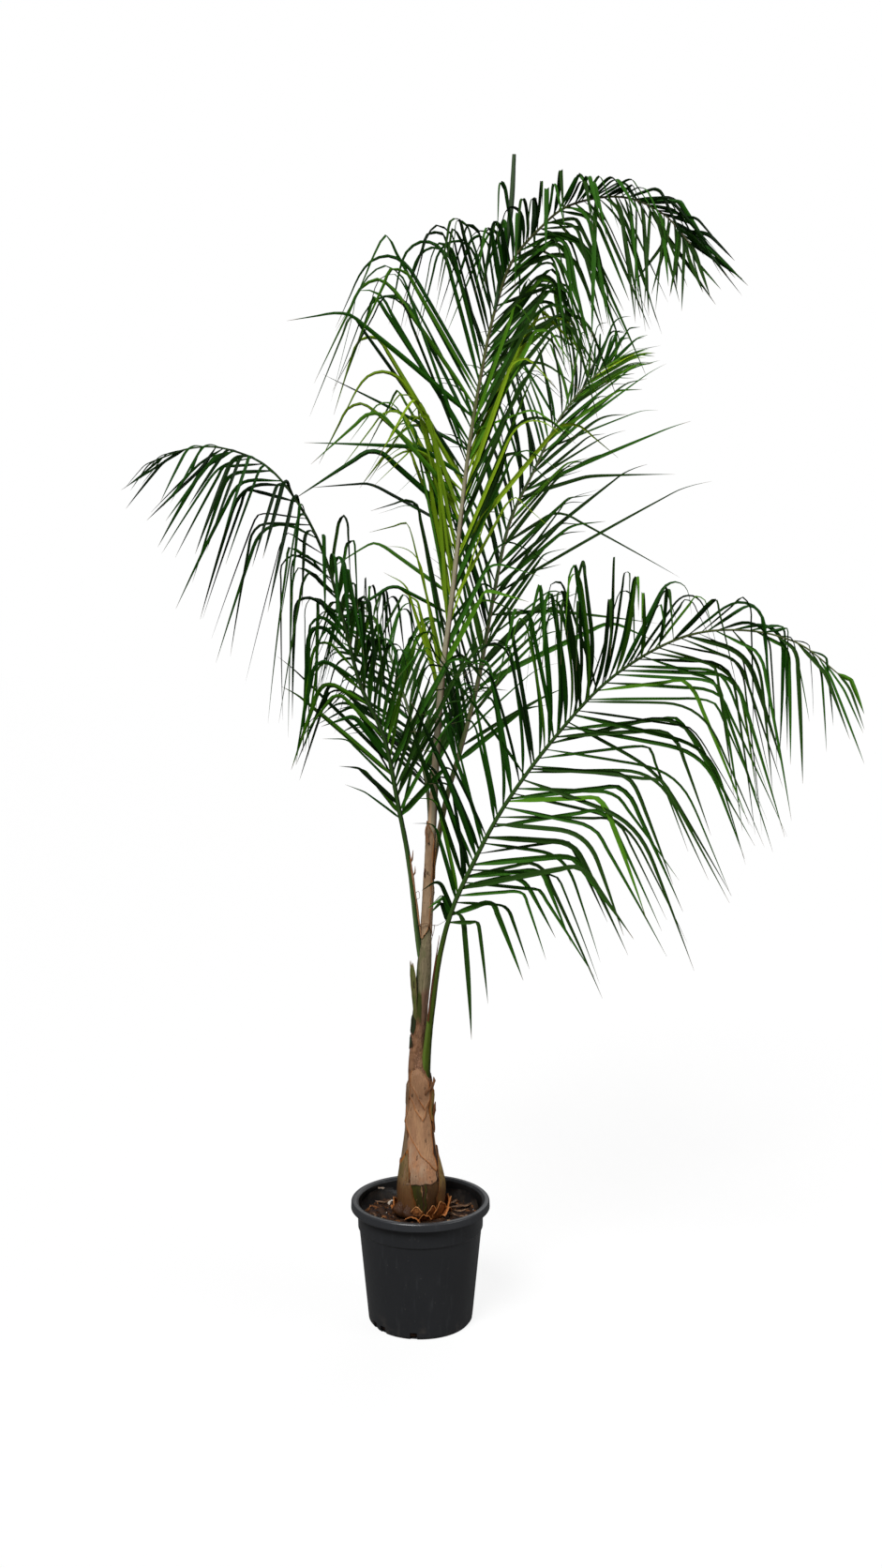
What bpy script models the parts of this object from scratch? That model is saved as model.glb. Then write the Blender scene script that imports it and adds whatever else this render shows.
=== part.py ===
"""Potted queen palm: a black nursery pot, its filling, a swollen stem and five feather fronds.

Metres, +Z up, origin at the middle of the pot's flat underside. Every frond is a rib that
follows a few guide points, with leaflets that leave it by keyed rules and fold down under
their own weight. A leaflet here is a three-sided blade, wider than life. One that would
cross another blade or touch another limb is left out.
"""

import math
import random
from collections import namedtuple

import bmesh
import bpy
from mathutils import Matrix, Quaternion, Vector
from mathutils.bvhtree import BVHTree

# ---- driving dimensions -------------------------------------------------------------------
CLEAR = 0.0004  # gap between neighbouring solids

POT_HEIGHT = 0.242
POT_BASE_RADIUS = 0.1016
POT_STEP_RADIUS = 0.1192  # just under the collar
POT_COLLAR_RADIUS = 0.1222
POT_LIP_RADIUS = 0.1352
POT_STEP_HEIGHT = 0.188
POT_LIP_HEIGHT = 0.017
POT_WALL = 0.0026
POT_FOOT_ROUND = 0.006
POT_STEP_RAMP = 0.002  # half the height of the slope between wall and collar
POT_SIDES = 36
NOTCH_ANGLES = (-149, -135, -97, -5, 9, 45, 93, 139)  # degrees, 0 is right and -90 the front
NOTCH_SIZE = (0.0135, 0.0150)  # width and height of a drain notch
NOTCH_DEPTH = 0.014  # how far a notch cutter reaches through the wall

SOIL_LEVEL = 0.218

STEM_SIDES = 18
# height, middle x, middle y, radius of the stem, from the soil to the parting of the ribs
STEM = (
    (SOIL_LEVEL + CLEAR, 0.0010, 0.0, 0.0405),
    (0.245, 0.0015, 0.0, 0.0440),
    (0.275, 0.0015, 0.0, 0.0442),
    (0.310, 0.0000, 0.0, 0.0382),
    (0.341, -0.0019, 0.0, 0.0316),
    (0.380, -0.0020, 0.0, 0.0268),
    (0.418, -0.0021, 0.0, 0.0240),
    (0.455, -0.0012, 0.0, 0.0232),
    (0.478, -0.0015, 0.0, 0.0215),
    (0.505, -0.0050, 0.001, 0.0135),
    (0.550, -0.0075, 0.003, 0.0105),
    (0.608, -0.0025, 0.004, 0.0125),
    (0.683, 0.0060, 0.003, 0.0130),
    (0.745, 0.0105, 0.001, 0.0112),
)

SHEATH_GAP = 0.0012  # from the stem to a sheath's inner face
SHEATH_THICK = 0.0022

LEAF_WIDTH = 0.017
LEAF_THICKNESS_SHARE = 0.0105  # of its length
LEAF_STEPS = 14
SHARP_TURN = math.radians(35)  # a leaflet that turns less than this needs no stations at its fold
RIB_SIDES = 6
RIB_STRIDE = 0.07

# One row of a leaflet rule: share of the frond's length, splay from the rib (degrees), reach
# to the fold and fall beyond it (metres), slope of the hanging part (degrees), roll about the
# rib (degrees, towards the front), and the gap to the next leaflet (millimetres).
Key = namedtuple("Key", "share splay reach fall droop roll gap")
# A single leaflet that stands apart from its row. Side -1 is left of the rib, 1 right of it.
Extra = namedtuple("Extra", "share side splay reach fall droop roll")
# guides: the rib's route. thick: share and radius. leafy: share where leaflets start.
# split: share where the node parts at the bend, or None.
Frond = namedtuple("Frond", "name guides thick leafy split spread seed left right extra")

CENTRE = Frond(
    "centre",
    guides=(
        (0.0105, 0.001, 0.7420), (0.0165, 0.003, 0.860), (0.023, 0.005, 0.975), (0.039, 0.015, 1.224),
        (0.062, 0.025, 1.417), (0.092, 0.035, 1.679), (0.121, 0.040, 1.851), (0.143, 0.035, 1.944),
        (0.170, 0.020, 2.017), (0.214, 0.000, 2.067), (0.271, -0.030, 2.106), (0.356, -0.080, 2.109),
        (0.426, -0.120, 2.072), (0.472, -0.160, 2.010),
    ),
    thick=((0, 0.0105), (0.10, 0.0090), (0.30, 0.0066), (0.55, 0.0048), (0.72, 0.0034), (1, 0.0014)),
    leafy=0.275, split=0.735, spread=38, seed=3,
    left=(
        Key(0.27, 22, 0.20, 0.05, 30, 0, 18), Key(0.33, 16, 0.31, 0.08, -20, 0, 16),
        Key(0.40, 17, 0.33, 0.12, -50, 0, 14), Key(0.47, 32, 0.25, 0.15, -50, 0, 17),
        Key(0.54, 34, 0.35, 0.20, -66, 0, 18), Key(0.60, 34, 0.28, 0.20, -68, 0, 16),
        Key(0.65, 28, 0.25, 0.19, -70, 0, 13), Key(0.70, 28, 0.17, 0.19, -75, 0, 12),
        Key(0.75, 30, 0.09, 0.15, -72, 0, 12), Key(0.80, 40, 0.07, 0.12, -70, 0, 12),
        Key(0.86, 30, 0.07, 0.14, -55, 20, 10), Key(0.93, 22, 0.07, 0.13, -48, 30, 10),
        Key(1.00, 10, 0.06, 0.08, -40, 0, 10),
    ),
    right=(
        Key(0.27, 26, 0.14, 0.10, 0, 0, 22), Key(0.35, 20, 0.24, 0.10, -30, 0, 20),
        Key(0.45, 19, 0.31, 0.10, -40, 0, 20), Key(0.55, 20, 0.30, 0.13, -50, 0, 17),
        Key(0.62, 27, 0.24, 0.17, -65, 0, 14), Key(0.68, 32, 0.17, 0.20, -74, 0, 13),
        Key(0.75, 42, 0.11, 0.20, -72, 10, 12), Key(0.82, 50, 0.06, 0.20, -66, 10, 11),
        Key(0.90, 48, 0.05, 0.22, -62, 10, 9), Key(0.96, 30, 0.05, 0.13, -56, 10, 9),
        Key(1.00, 12, 0.05, 0.08, -45, 0, 9),
    ),
    extra=(
        Extra(0.752, -1, 27, 0.21, 0.08, -88, 5), Extra(0.745, -1, 24, 0.19, 0.02, 80, -10),
        Extra(0.757, -1, 31, 0.16, 0.11, -86, 15), Extra(0.585, -1, 60, 0.30, 0.11, -8, 10),
        Extra(0.55, -1, 68, 0.29, 0.03, 30, -12), Extra(0.52, -1, 65, 0.10, 0.22, 3, 15),
        Extra(0.47, -1, 54, 0.21, 0.18, -30, 0), Extra(0.46, -1, 66, 0.20, 0.12, 0, -15),
        Extra(0.49, -1, 52, 0.24, 0.16, -38, 25), Extra(0.39, -1, 60, 0.18, 0.14, -28, -10),
        Extra(0.37, -1, 70, 0.12, 0.14, -30, 12), Extra(0.42, 1, 15, 0.40, 0.06, -60, -5),
        Extra(0.36, 1, 32, 0.10, 0.05, -30, -12), Extra(0.57, 1, 62, 0.12, 0.10, -30, 10),
        Extra(0.80, 1, 62, 0.10, 0.26, -62, 15), Extra(0.79, -1, 28, 0.10, 0.05, -84, 10),
    ),
)

LEFT = Frond(
    "left",
    guides=(
        (0.0050, 0.000, 0.690), (-0.004, -0.002, 0.758), (-0.021, -0.010, 0.907), (-0.040, -0.025, 1.014),
        (-0.065, -0.050, 1.143), (-0.108, -0.080, 1.247), (-0.137, -0.110, 1.367), (-0.169, -0.140, 1.482),
        (-0.211, -0.170, 1.568), (-0.265, -0.190, 1.631), (-0.336, -0.215, 1.658), (-0.393, -0.230, 1.655),
        (-0.447, -0.245, 1.634),
    ),
    thick=((0, 0.0060), (0.15, 0.0050), (0.35, 0.0042), (0.60, 0.0032), (0.75, 0.0024), (1, 0.0012)),
    leafy=0.25, split=0.70, spread=34, seed=5,
    left=(
        Key(0.25, 36, 0.09, 0.04, 20, 0, 22), Key(0.31, 34, 0.15, 0.05, 10, 0, 22),
        Key(0.38, 26, 0.12, 0.12, -55, 0, 20), Key(0.48, 25, 0.08, 0.17, -74, 0, 18),
        Key(0.58, 32, 0.08, 0.23, -80, 0, 17), Key(0.68, 46, 0.09, 0.25, -73, 0, 17),
        Key(0.76, 54, 0.10, 0.21, -55, 0, 18), Key(0.84, 48, 0.08, 0.18, -55, 0, 20),
        Key(0.91, 38, 0.05, 0.11, -42, 0, 20), Key(1.00, 14, 0.05, 0.04, -30, 0, 14),
    ),
    right=(
        Key(0.25, 34, 0.22, 0.04, 40, 0, 14), Key(0.32, 32, 0.23, 0.08, 0, 0, 10),
        Key(0.38, 28, 0.20, 0.14, -65, 0, 9), Key(0.48, 26, 0.10, 0.13, -80, 0, 11),
        Key(0.58, 18, 0.09, 0.13, -82, 30, 15), Key(0.68, 18, 0.06, 0.15, -76, 80, 19),
        Key(0.76, 26, 0.06, 0.18, -58, 110, 22), Key(0.84, 26, 0.05, 0.16, -55, 115, 22),
        Key(0.91, 26, 0.05, 0.10, -42, 115, 22), Key(1.00, 12, 0.04, 0.05, -30, 100, 16),
    ),
    extra=(
        Extra(0.34, -1, 32, 0.26, 0.03, 40, 0), Extra(0.32, -1, 36, 0.24, 0.03, 30, 10),
        Extra(0.64, 1, 14, 0.12, 0.12, -86, 0), Extra(0.605, 1, 16, 0.12, 0.13, -86, 10),
        Extra(0.285, 1, 34, 0.34, 0.03, 40, 0), Extra(0.255, 1, 52, 0.13, 0.03, -60, 0),
        Extra(0.34, 1, 42, 0.24, 0.10, -50, -15),
    ),
)

RIGHT = Frond(
    "right",
    guides=(
        (0.0060, 0.000, 0.470), (0.0120, -0.007, 0.550), (0.0200, -0.015, 0.629), (0.0320, -0.024, 0.720),
        (0.057, -0.038, 0.811), (0.092, -0.050, 0.893), (0.157, -0.070, 1.020), (0.250, -0.100, 1.153),
        (0.345, -0.140, 1.260), (0.456, -0.190, 1.331), (0.555, -0.230, 1.347), (0.648, -0.265, 1.331),
        (0.722, -0.290, 1.283),
    ),
    thick=((0, 0.0095), (0.06, 0.0095), (0.15, 0.0070), (0.25, 0.0055), (0.45, 0.0042),
           (0.70, 0.0028), (1, 0.0012)),
    leafy=0.258, split=0.71, spread=28, seed=7,
    left=(
        Key(0.255, 60, 0.08, 0.06, -50, 0, 12), Key(0.30, 54, 0.20, 0.05, 10, 0, 13),
        Key(0.35, 47, 0.25, 0.05, 10, 0, 14), Key(0.43, 42, 0.25, 0.06, -20, 0, 16),
        Key(0.51, 42, 0.32, 0.10, -60, 0, 18), Key(0.59, 42, 0.27, 0.16, -82, 0, 17),
        Key(0.65, 38, 0.24, 0.10, -84, 0, 16), Key(0.715, 28, 0.14, 0.04, -60, 0, 15),
        Key(0.785, 25, 0.13, 0.22, -84, 0, 18), Key(0.855, 24, 0.11, 0.25, -86, 0, 20),
        Key(0.91, 22, 0.05, 0.15, -80, 0, 24), Key(1.00, 10, 0.04, 0.05, -65, 0, 20),
    ),
    right=(
        Key(0.255, 85, 0.06, 0.20, -78, 0, 14), Key(0.30, 66, 0.12, 0.20, -62, 0, 12),
        Key(0.35, 78, 0.17, 0.21, -58, 0, 12), Key(0.41, 66, 0.20, 0.27, -60, 0, 13),
        Key(0.47, 60, 0.21, 0.27, -58, 0, 15), Key(0.54, 52, 0.23, 0.22, -58, 0, 17),
        Key(0.61, 49, 0.22, 0.25, -62, 0, 17), Key(0.685, 46, 0.18, 0.28, -71, 0, 16),
        Key(0.765, 42, 0.13, 0.28, -75, 0, 16), Key(0.845, 30, 0.09, 0.27, -79, 0, 18),
        Key(0.91, 24, 0.05, 0.23, -80, 0, 24), Key(1.00, 10, 0.04, 0.06, -62, 0, 20),
    ),
    extra=(
        Extra(0.32, -1, 58, 0.36, 0.02, 60, 0), Extra(0.37, -1, 60, 0.30, 0.02, 40, 10),
        Extra(0.275, 1, 88, 0.02, 0.24, -84, 0), Extra(0.93, 1, 20, 0.07, 0.12, -66, 0),
        Extra(0.97, 1, 12, 0.06, 0.08, -62, 0), Extra(0.31, 1, 50, 0.24, 0.16, -50, 20),
        Extra(0.33, 1, 58, 0.14, 0.30, -62, -20),
    ),
)

BACK = Frond(
    "back",
    guides=(
        (0.0120, 0.006, 0.715), (0.0175, 0.0195, 0.800), (0.0230, 0.030, 0.882), (0.0340, 0.045, 0.942),
        (0.054, 0.070, 1.032), (0.076, 0.090, 1.105), (0.113, 0.140, 1.243), (0.143, 0.190, 1.401),
        (0.177, 0.240, 1.553), (0.230, 0.290, 1.665), (0.288, 0.340, 1.779), (0.366, 0.400, 1.872),
        (0.412, 0.430, 1.908),
    ),
    thick=((0, 0.0060), (0.15, 0.0055), (0.40, 0.0045), (0.70, 0.0032), (1, 0.0014)),
    leafy=0.285, split=None, spread=30, seed=11,
    left=(
        Key(0.28, 28, 0.22, 0.03, 40, 0, 18), Key(0.42, 26, 0.27, 0.04, 30, 0, 20),
        Key(0.54, 23, 0.30, 0.05, 10, 0, 20), Key(0.65, 26, 0.30, 0.06, 10, 0, 19),
        Key(0.76, 30, 0.26, 0.06, 0, 0, 17), Key(0.85, 30, 0.19, 0.05, 0, 0, 14),
        Key(0.94, 22, 0.12, 0.04, 10, 0, 11), Key(1.00, 12, 0.08, 0.03, 20, 0, 10),
    ),
    right=(
        Key(0.28, 34, 0.20, 0.04, 20, 0, 20), Key(0.42, 30, 0.22, 0.05, 10, 0, 21),
        Key(0.54, 27, 0.24, 0.06, 10, 0, 21), Key(0.65, 23, 0.24, 0.06, 10, 0, 19),
        Key(0.76, 20, 0.24, 0.05, 10, 0, 17), Key(0.85, 17, 0.19, 0.05, 10, 0, 14),
        Key(0.94, 14, 0.12, 0.04, 10, 0, 11), Key(1.00, 10, 0.08, 0.03, 20, 0, 10),
    ),
    extra=(
        Extra(0.54, 1, 46, 0.45, 0.06, 15, 0), Extra(0.62, 1, 42, 0.13, 0.29, -25, 0),
        Extra(0.70, 1, 42, 0.15, 0.19, 5, 0), Extra(0.71, 1, 34, 0.36, 0.04, 20, 0),
        Extra(0.78, 1, 24, 0.30, 0.04, 30, 0), Extra(0.51, 1, 74, 0.12, 0.22, -4, 0),
        Extra(0.57, 1, 36, 0.36, 0.05, 20, -10), Extra(0.40, 1, 48, 0.30, 0.10, -20, 0),
        Extra(0.47, 1, 40, 0.18, 0.20, -60, 0),
    ),
)

REAR = Frond(
    "rear",
    guides=(
        (0.0060, 0.006, 0.715), (0.0000, 0.0205, 0.827), (-0.002, 0.045, 0.932), (-0.008, 0.095, 1.036),
        (-0.024, 0.170, 1.159), (-0.056, 0.250, 1.268), (-0.094, 0.330, 1.353), (-0.131, 0.420, 1.392),
        (-0.162, 0.500, 1.382),
    ),
    thick=((0, 0.0055), (0.20, 0.0048), (0.60, 0.0034), (1, 0.0014)),
    leafy=0.36, split=None, spread=40, seed=13,
    left=(
        Key(0.36, 35, 0.18, 0.06, 0, 0, 18), Key(0.55, 34, 0.18, 0.12, -60, 0, 18),
        Key(0.73, 36, 0.14, 0.16, -72, 0, 18), Key(0.89, 34, 0.10, 0.14, -66, 0, 18),
        Key(1.00, 12, 0.05, 0.06, -50, 0, 14),
    ),
    right=(
        Key(0.36, 32, 0.20, 0.06, 0, 0, 18), Key(0.55, 30, 0.18, 0.10, -60, 0, 18),
        Key(0.73, 30, 0.12, 0.14, -74, 30, 18), Key(0.89, 30, 0.08, 0.12, -68, 40, 18),
        Key(1.00, 12, 0.05, 0.06, -50, 0, 14),
    ),
    extra=(),
)

FRONDS = (CENTRE, LEFT, RIGHT, BACK, REAR)

# Old leaf bases lapped on the stem: name, middle angle and half width in degrees (0 is right,
# -90 the front), lower and upper height, how pointed the top is, and its place in the laps.
Sheath = namedtuple("Sheath", "name angle half low high point layer")
SHEATHS = (
    Sheath("sheath_left", -178, 52, 0.2500, 0.375, 0.75, 0),
    Sheath("sheath_right", -8, 48, 0.2500, 0.405, 0.75, 0),
    Sheath("sheath_back", 88, 38, 0.2500, 0.430, 0.60, 0),
    Sheath("sheath_front", -92, 44, 0.2620, 0.455, 0.50, 1),
)
HUSK_HEIGHTS = (0.018, 0.026, 0.015, 0.024, 0.020, 0.028, 0.016)  # one for each torn husk
HUSK_THICK = 0.003
HUSK_LEAN = 0.011  # how far a husk's top stands out from its foot

# A leaf stalk torn off short: middle line and radius from its foot to its torn point.
STUB = (
    (-0.0150, 0.002, 0.600, 0.0050),
    (-0.0172, 0.001, 0.650, 0.0050),
    (-0.0195, 0.000, 0.690, 0.0040),
    (-0.0205, 0.000, 0.716, 0.0012),
)
STUB_SIDES = 8


# ---- meshes -------------------------------------------------------------------------------
def material(name, colour, roughness, metallic=0.0):
    made = bpy.data.materials.new(name)
    made.use_nodes = True
    shader = made.node_tree.nodes["Principled BSDF"]
    shader.inputs["Base Color"].default_value = (*colour, 1.0)
    shader.inputs["Roughness"].default_value = roughness
    shader.inputs["Metallic"].default_value = metallic
    return made


def add_object(name, points, faces, finish=None):
    mesh = bpy.data.meshes.new(name)
    mesh.from_pydata([tuple(p) for p in points], [], faces)
    mesh.update()
    made = bpy.data.objects.new(name, mesh)
    bpy.context.scene.collection.objects.link(made)
    if finish:
        mesh.materials.append(finish)
    return made


def turned(name, profile, sides, finish):
    """A body of revolution about Z. The profile runs from the axis round to the axis again."""
    points, faces, rings = [], [], []
    for radius, height in profile:
        count = 1 if radius < 1e-6 else sides
        rings.append(range(len(points), len(points) + count))
        for i in range(count):
            turn = 2 * math.pi * i / sides
            points.append((radius * math.cos(turn), radius * math.sin(turn), height))
    for low, high in zip(rings, rings[1:]):
        for i in range(sides):
            j = (i + 1) % sides
            ring = [low[i % len(low)], low[j % len(low)], high[j % len(high)], high[i % len(high)]]
            faces.append(list(dict.fromkeys(ring)))
    return add_object(name, points, faces, finish)


def lofted(name, rings, finish=None):
    """A closed skin over rings of equal count, each wound anticlockwise seen from the far end.

    A last ring of one point closes to a tip.
    """
    points = [p for ring in rings for p in ring]
    sides = len(rings[0])
    faces = [list(reversed(range(sides)))]
    start = 0
    for ring, after in zip(rings, rings[1:]):
        base = start + len(ring)
        for i in range(sides):
            j = (i + 1) % sides
            if len(after) == 1:
                faces.append([start + i, start + j, base])
            else:
                faces.append([start + i, start + j, base + j, base + i])
        start = base
    if len(rings[-1]) > 1:
        faces.append(list(range(start, start + sides)))
    return add_object(name, points, faces, finish)


def evaluated(made):
    return bpy.data.meshes.new_from_object(made.evaluated_get(bpy.context.evaluated_depsgraph_get()))


def bake_modifiers(made):
    mesh = evaluated(made)
    made.modifiers.clear()
    made.data = mesh


def remove(made):
    bpy.data.objects.remove(made)


def keep_main_body(made):
    """Drops loose scraps and sealed inner shells, and keeps the largest skin."""
    work = bmesh.new()
    work.from_mesh(made.data)
    bmesh.ops.triangulate(work, faces=work.faces)
    left, skins = set(work.faces), []
    while left:
        queue = [left.pop()]
        skin = []
        while queue:
            face = queue.pop()
            skin.append(face)
            for edge in face.edges:
                for other in edge.link_faces:
                    if other in left:
                        left.discard(other)
                        queue.append(other)
        skins.append(skin)
    skins.sort(key=len)
    for skin in skins[:-1]:
        bmesh.ops.delete(work, geom=skin, context="FACES")
    loose = [v for v in work.verts if not v.link_faces]
    bmesh.ops.delete(work, geom=loose, context="VERTS")
    work.to_mesh(made.data)
    work.free()


def boolean(made, operation, other=None, group=None, solver="EXACT"):
    cut = made.modifiers.new("boolean", "BOOLEAN")
    cut.operation = operation
    cut.solver = solver
    if group:
        cut.operand_type = "COLLECTION"
        cut.collection = group
    else:
        cut.object = other
    bake_modifiers(made)


# ---- pot and filling ----------------------------------------------------------------------
def pot_radius(height):
    """Outer radius of the pot's wall below its lip."""
    if height < POT_STEP_HEIGHT:
        share = height / POT_STEP_HEIGHT
        return POT_BASE_RADIUS + (POT_STEP_RADIUS - POT_BASE_RADIUS) * share
    return POT_COLLAR_RADIUS


def make_pot(finish):
    lip_foot = POT_HEIGHT - POT_LIP_HEIGHT
    step = POT_STEP_RAMP
    inner_floor = POT_WALL
    profile = [(0, 0)]
    for i in range(4):
        turn = math.radians(30 * i)
        out = POT_BASE_RADIUS - POT_FOOT_ROUND * (1 - math.sin(turn))
        profile.append((out, POT_FOOT_ROUND * (1 - math.cos(turn))))
    profile += [
        (pot_radius(POT_STEP_HEIGHT - step), POT_STEP_HEIGHT - step),
        (POT_COLLAR_RADIUS, POT_STEP_HEIGHT + step),
        (POT_COLLAR_RADIUS + 0.001, lip_foot),
        (POT_LIP_RADIUS - 0.0008, lip_foot),
        (POT_LIP_RADIUS, lip_foot + 0.003),
        (POT_LIP_RADIUS - 0.0004, POT_HEIGHT - 0.003),
        (POT_LIP_RADIUS - 0.0026, POT_HEIGHT),
        (POT_COLLAR_RADIUS + 0.003, POT_HEIGHT),
        (POT_COLLAR_RADIUS - POT_WALL + 0.001, POT_HEIGHT - 0.004),
        (POT_COLLAR_RADIUS - POT_WALL, lip_foot),
        (POT_COLLAR_RADIUS - POT_WALL, POT_STEP_HEIGHT + step),
        (pot_radius(POT_STEP_HEIGHT - step) - POT_WALL, POT_STEP_HEIGHT - step),
        (pot_radius(POT_FOOT_ROUND) - POT_WALL, POT_FOOT_ROUND),
        (pot_radius(POT_FOOT_ROUND) - POT_WALL - 0.003, inner_floor),
        (0, inner_floor),
    ]
    pot = turned("pot", profile, POT_SIDES, finish)
    group = bpy.data.collections.new("notch_cutters")
    bpy.context.scene.collection.children.link(group)
    cutters = [notch_cutter(group, angle) for angle in NOTCH_ANGLES]
    boolean(pot, "DIFFERENCE", group=group)
    for cutter in cutters:
        remove(cutter)
    bpy.data.collections.remove(group)
    return pot


def notch_cutter(group, angle):
    width, height = NOTCH_SIZE
    bpy.ops.mesh.primitive_cube_add(size=1)
    cutter = bpy.context.object
    cutter.name = "notch_cutter"
    turn = Matrix.Rotation(math.radians(angle), 4, "Z")
    place = turn @ Matrix.Translation((POT_BASE_RADIUS, 0, height / 2 - 0.002))
    cutter.matrix_world = place @ Matrix.Diagonal((NOTCH_DEPTH, width, height + 0.004, 1))
    cutter.hide_render = True
    cutter.display_type = "WIRE"
    for owner in list(cutter.users_collection):
        owner.objects.unlink(cutter)
    group.objects.link(cutter)
    return cutter


def make_potting_mix(finish):
    step = POT_STEP_RAMP
    inset = POT_WALL + CLEAR
    profile = (
        (0, POT_WALL + CLEAR),
        (pot_radius(POT_FOOT_ROUND) - inset - 0.0032, POT_WALL + CLEAR),
        (pot_radius(POT_FOOT_ROUND) - inset, POT_FOOT_ROUND + 0.001),
        (pot_radius(POT_STEP_HEIGHT - step) - inset, POT_STEP_HEIGHT - step),
        (POT_COLLAR_RADIUS - inset, POT_STEP_HEIGHT + step),
        (POT_COLLAR_RADIUS - inset, SOIL_LEVEL - 0.002),
        (POT_COLLAR_RADIUS - inset - 0.004, SOIL_LEVEL),
        (0, SOIL_LEVEL),
    )
    return turned("potting_mix", profile, POT_SIDES, finish)


# ---- stem and leaf bases ------------------------------------------------------------------
def smooth_path(guides, per_span):
    """Points on a Catmull-Rom curve through the guide points."""
    knots = [Vector(g) for g in guides]
    knots = [2 * knots[0] - knots[1], *knots, 2 * knots[-1] - knots[-2]]
    path = []
    for a, b, c, d in zip(knots, knots[1:], knots[2:], knots[3:]):
        for k in range(per_span):
            t = k / per_span
            path.append(
                0.5 * (2 * b + (c - a) * t + (2 * a - 5 * b + 4 * c - d) * t**2
                       + (3 * b - a - 3 * c + d) * t**3)
            )
    path.append(knots[-2])
    return path


def stem_at(height):
    """Middle and radius of the stem at a height, on the smooth curve through STEM."""
    stations = smooth_path(STEM, 2)
    for low, high in zip(stations, stations[1:]):
        if height <= high[0] or high is stations[-1]:
            share = (height - low[0]) / (high[0] - low[0])
            x, y, radius = (a + (b - a) * share for a, b in zip(low[1:], high[1:]))
            return Vector((x, y, height)), radius


def ring_at(middle, radius, sides):
    turns = (2 * math.pi * i / sides for i in range(sides))
    return [middle + Vector((radius * math.cos(t), radius * math.sin(t), 0)) for t in turns]


def make_stem(name, swell, finish=None):
    rings = []
    for z, x, y, radius in smooth_path(STEM, 2):
        rings.append(ring_at(Vector((x, y, z)), radius + swell, STEM_SIDES))
    rings[-1] = [point + Vector((0, 0, swell)) for point in rings[-1]]
    return lofted(name, rings, finish)


def plate(name, columns, thickness, finish):
    """A curved plate from columns of (foot-to-head) points with their outward directions."""
    rows = len(columns[0])
    points, faces = [], []
    for column in columns:
        points += [p for p, _ in column]
        points += [p + out * thickness for p, out in column]
    stride = 2 * rows
    for i in range(len(columns)):
        a = i * stride
        if i + 1 < len(columns):
            b = a + stride
            for j in range(rows - 1):
                faces.append((a + j, a + j + 1, b + j + 1, b + j))
                faces.append((a + rows + j, b + rows + j, b + rows + j + 1, a + rows + j + 1))
            faces.append((a, b, b + rows, a + rows))
            faces.append((a + rows - 1, a + 2 * rows - 1, b + 2 * rows - 1, b + rows - 1))
    last = (len(columns) - 1) * stride
    for j in range(rows - 1):
        faces.append((j, rows + j, rows + j + 1, j + 1))
        faces.append((last + j, last + j + 1, last + rows + j + 1, last + rows + j))
    return add_object(name, points, faces, finish)


def make_sheath(sheath, finish):
    columns = []
    count, rows = 6, 5
    for i in range(count + 1):
        across = 2 * i / count - 1
        turn = math.radians(sheath.angle + sheath.half * across)
        out = Vector((math.cos(turn), math.sin(turn), 0))
        high = sheath.low + (sheath.high - sheath.low) * (1 - sheath.point * abs(across))
        column = []
        for j in range(rows + 1):
            height = sheath.low + (high - sheath.low) * j / rows
            middle, radius = stem_at(height)
            gap = SHEATH_GAP + sheath.layer * (SHEATH_THICK + SHEATH_GAP)
            column.append((middle + out * (radius + gap), out))
        columns.append(column)
    return plate(sheath.name, columns, SHEATH_THICK, finish)


def make_husk(index, finish):
    """A short torn leaf base round the stem's foot. It leans out from the stem as it rises."""
    pitch = 360 / len(HUSK_HEIGHTS)
    high = HUSK_HEIGHTS[index]
    foot = SOIL_LEVEL + CLEAR
    columns = []
    for i in range(4):
        across = 2 * i / 3 - 1
        turn = math.radians(pitch * index + 0.40 * pitch * across)
        out = Vector((math.cos(turn), math.sin(turn), 0))
        column = []
        for j in range(4):
            share = j / 3
            height = foot + high * share * (1 - 0.45 * abs(across))
            middle, radius = stem_at(height)
            lean = 0.0016 + HUSK_LEAN * share ** 2
            column.append((middle + out * (radius + lean), out))
        columns.append(column)
    return plate(f"husk_{index + 1}", columns, HUSK_THICK, finish)


def make_stub(finish, stem_cutter):
    stub = lofted("petiole_stub", [ring_at(Vector((x, y, z)), r, STUB_SIDES) for x, y, z, r in STUB], finish)
    boolean(stub, "DIFFERENCE", other=stem_cutter)
    keep_main_body(stub)
    return stub


# ---- ribs and leaflets --------------------------------------------------------------------
class Rib:
    """The smooth route of a frond's rib, read by its share of the length."""

    def __init__(self, frond):
        self.frond = frond
        self.path = smooth_path(frond.guides, 24)
        self.run = [0.0]
        for a, b in zip(self.path, self.path[1:]):
            self.run.append(self.run[-1] + (b - a).length)
        self.length = self.run[-1]

    def at(self, share):
        goal = min(1.0, max(0.0, share)) * self.length
        low, high = 0, len(self.run) - 1
        while high - low > 1:
            middle = (low + high) // 2
            low, high = (middle, high) if self.run[middle] <= goal else (low, middle)
        part = (goal - self.run[low]) / (self.run[high] - self.run[low])
        return self.path[low].lerp(self.path[high], part)

    def along(self, share):
        return (self.at(share + 0.008) - self.at(share - 0.008)).normalized()

    def radius(self, share):
        return keyed([k[0] for k in self.frond.thick], [k[1] for k in self.frond.thick], share)


def keyed(shares, values, share):
    """Straight-line reading of values given at shares."""
    if share <= shares[0]:
        return values[0]
    for a, b, va, vb in zip(shares, shares[1:], values, values[1:]):
        if share <= b:
            return va + (vb - va) * (share - a) / (b - a)
    return values[-1]


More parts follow.
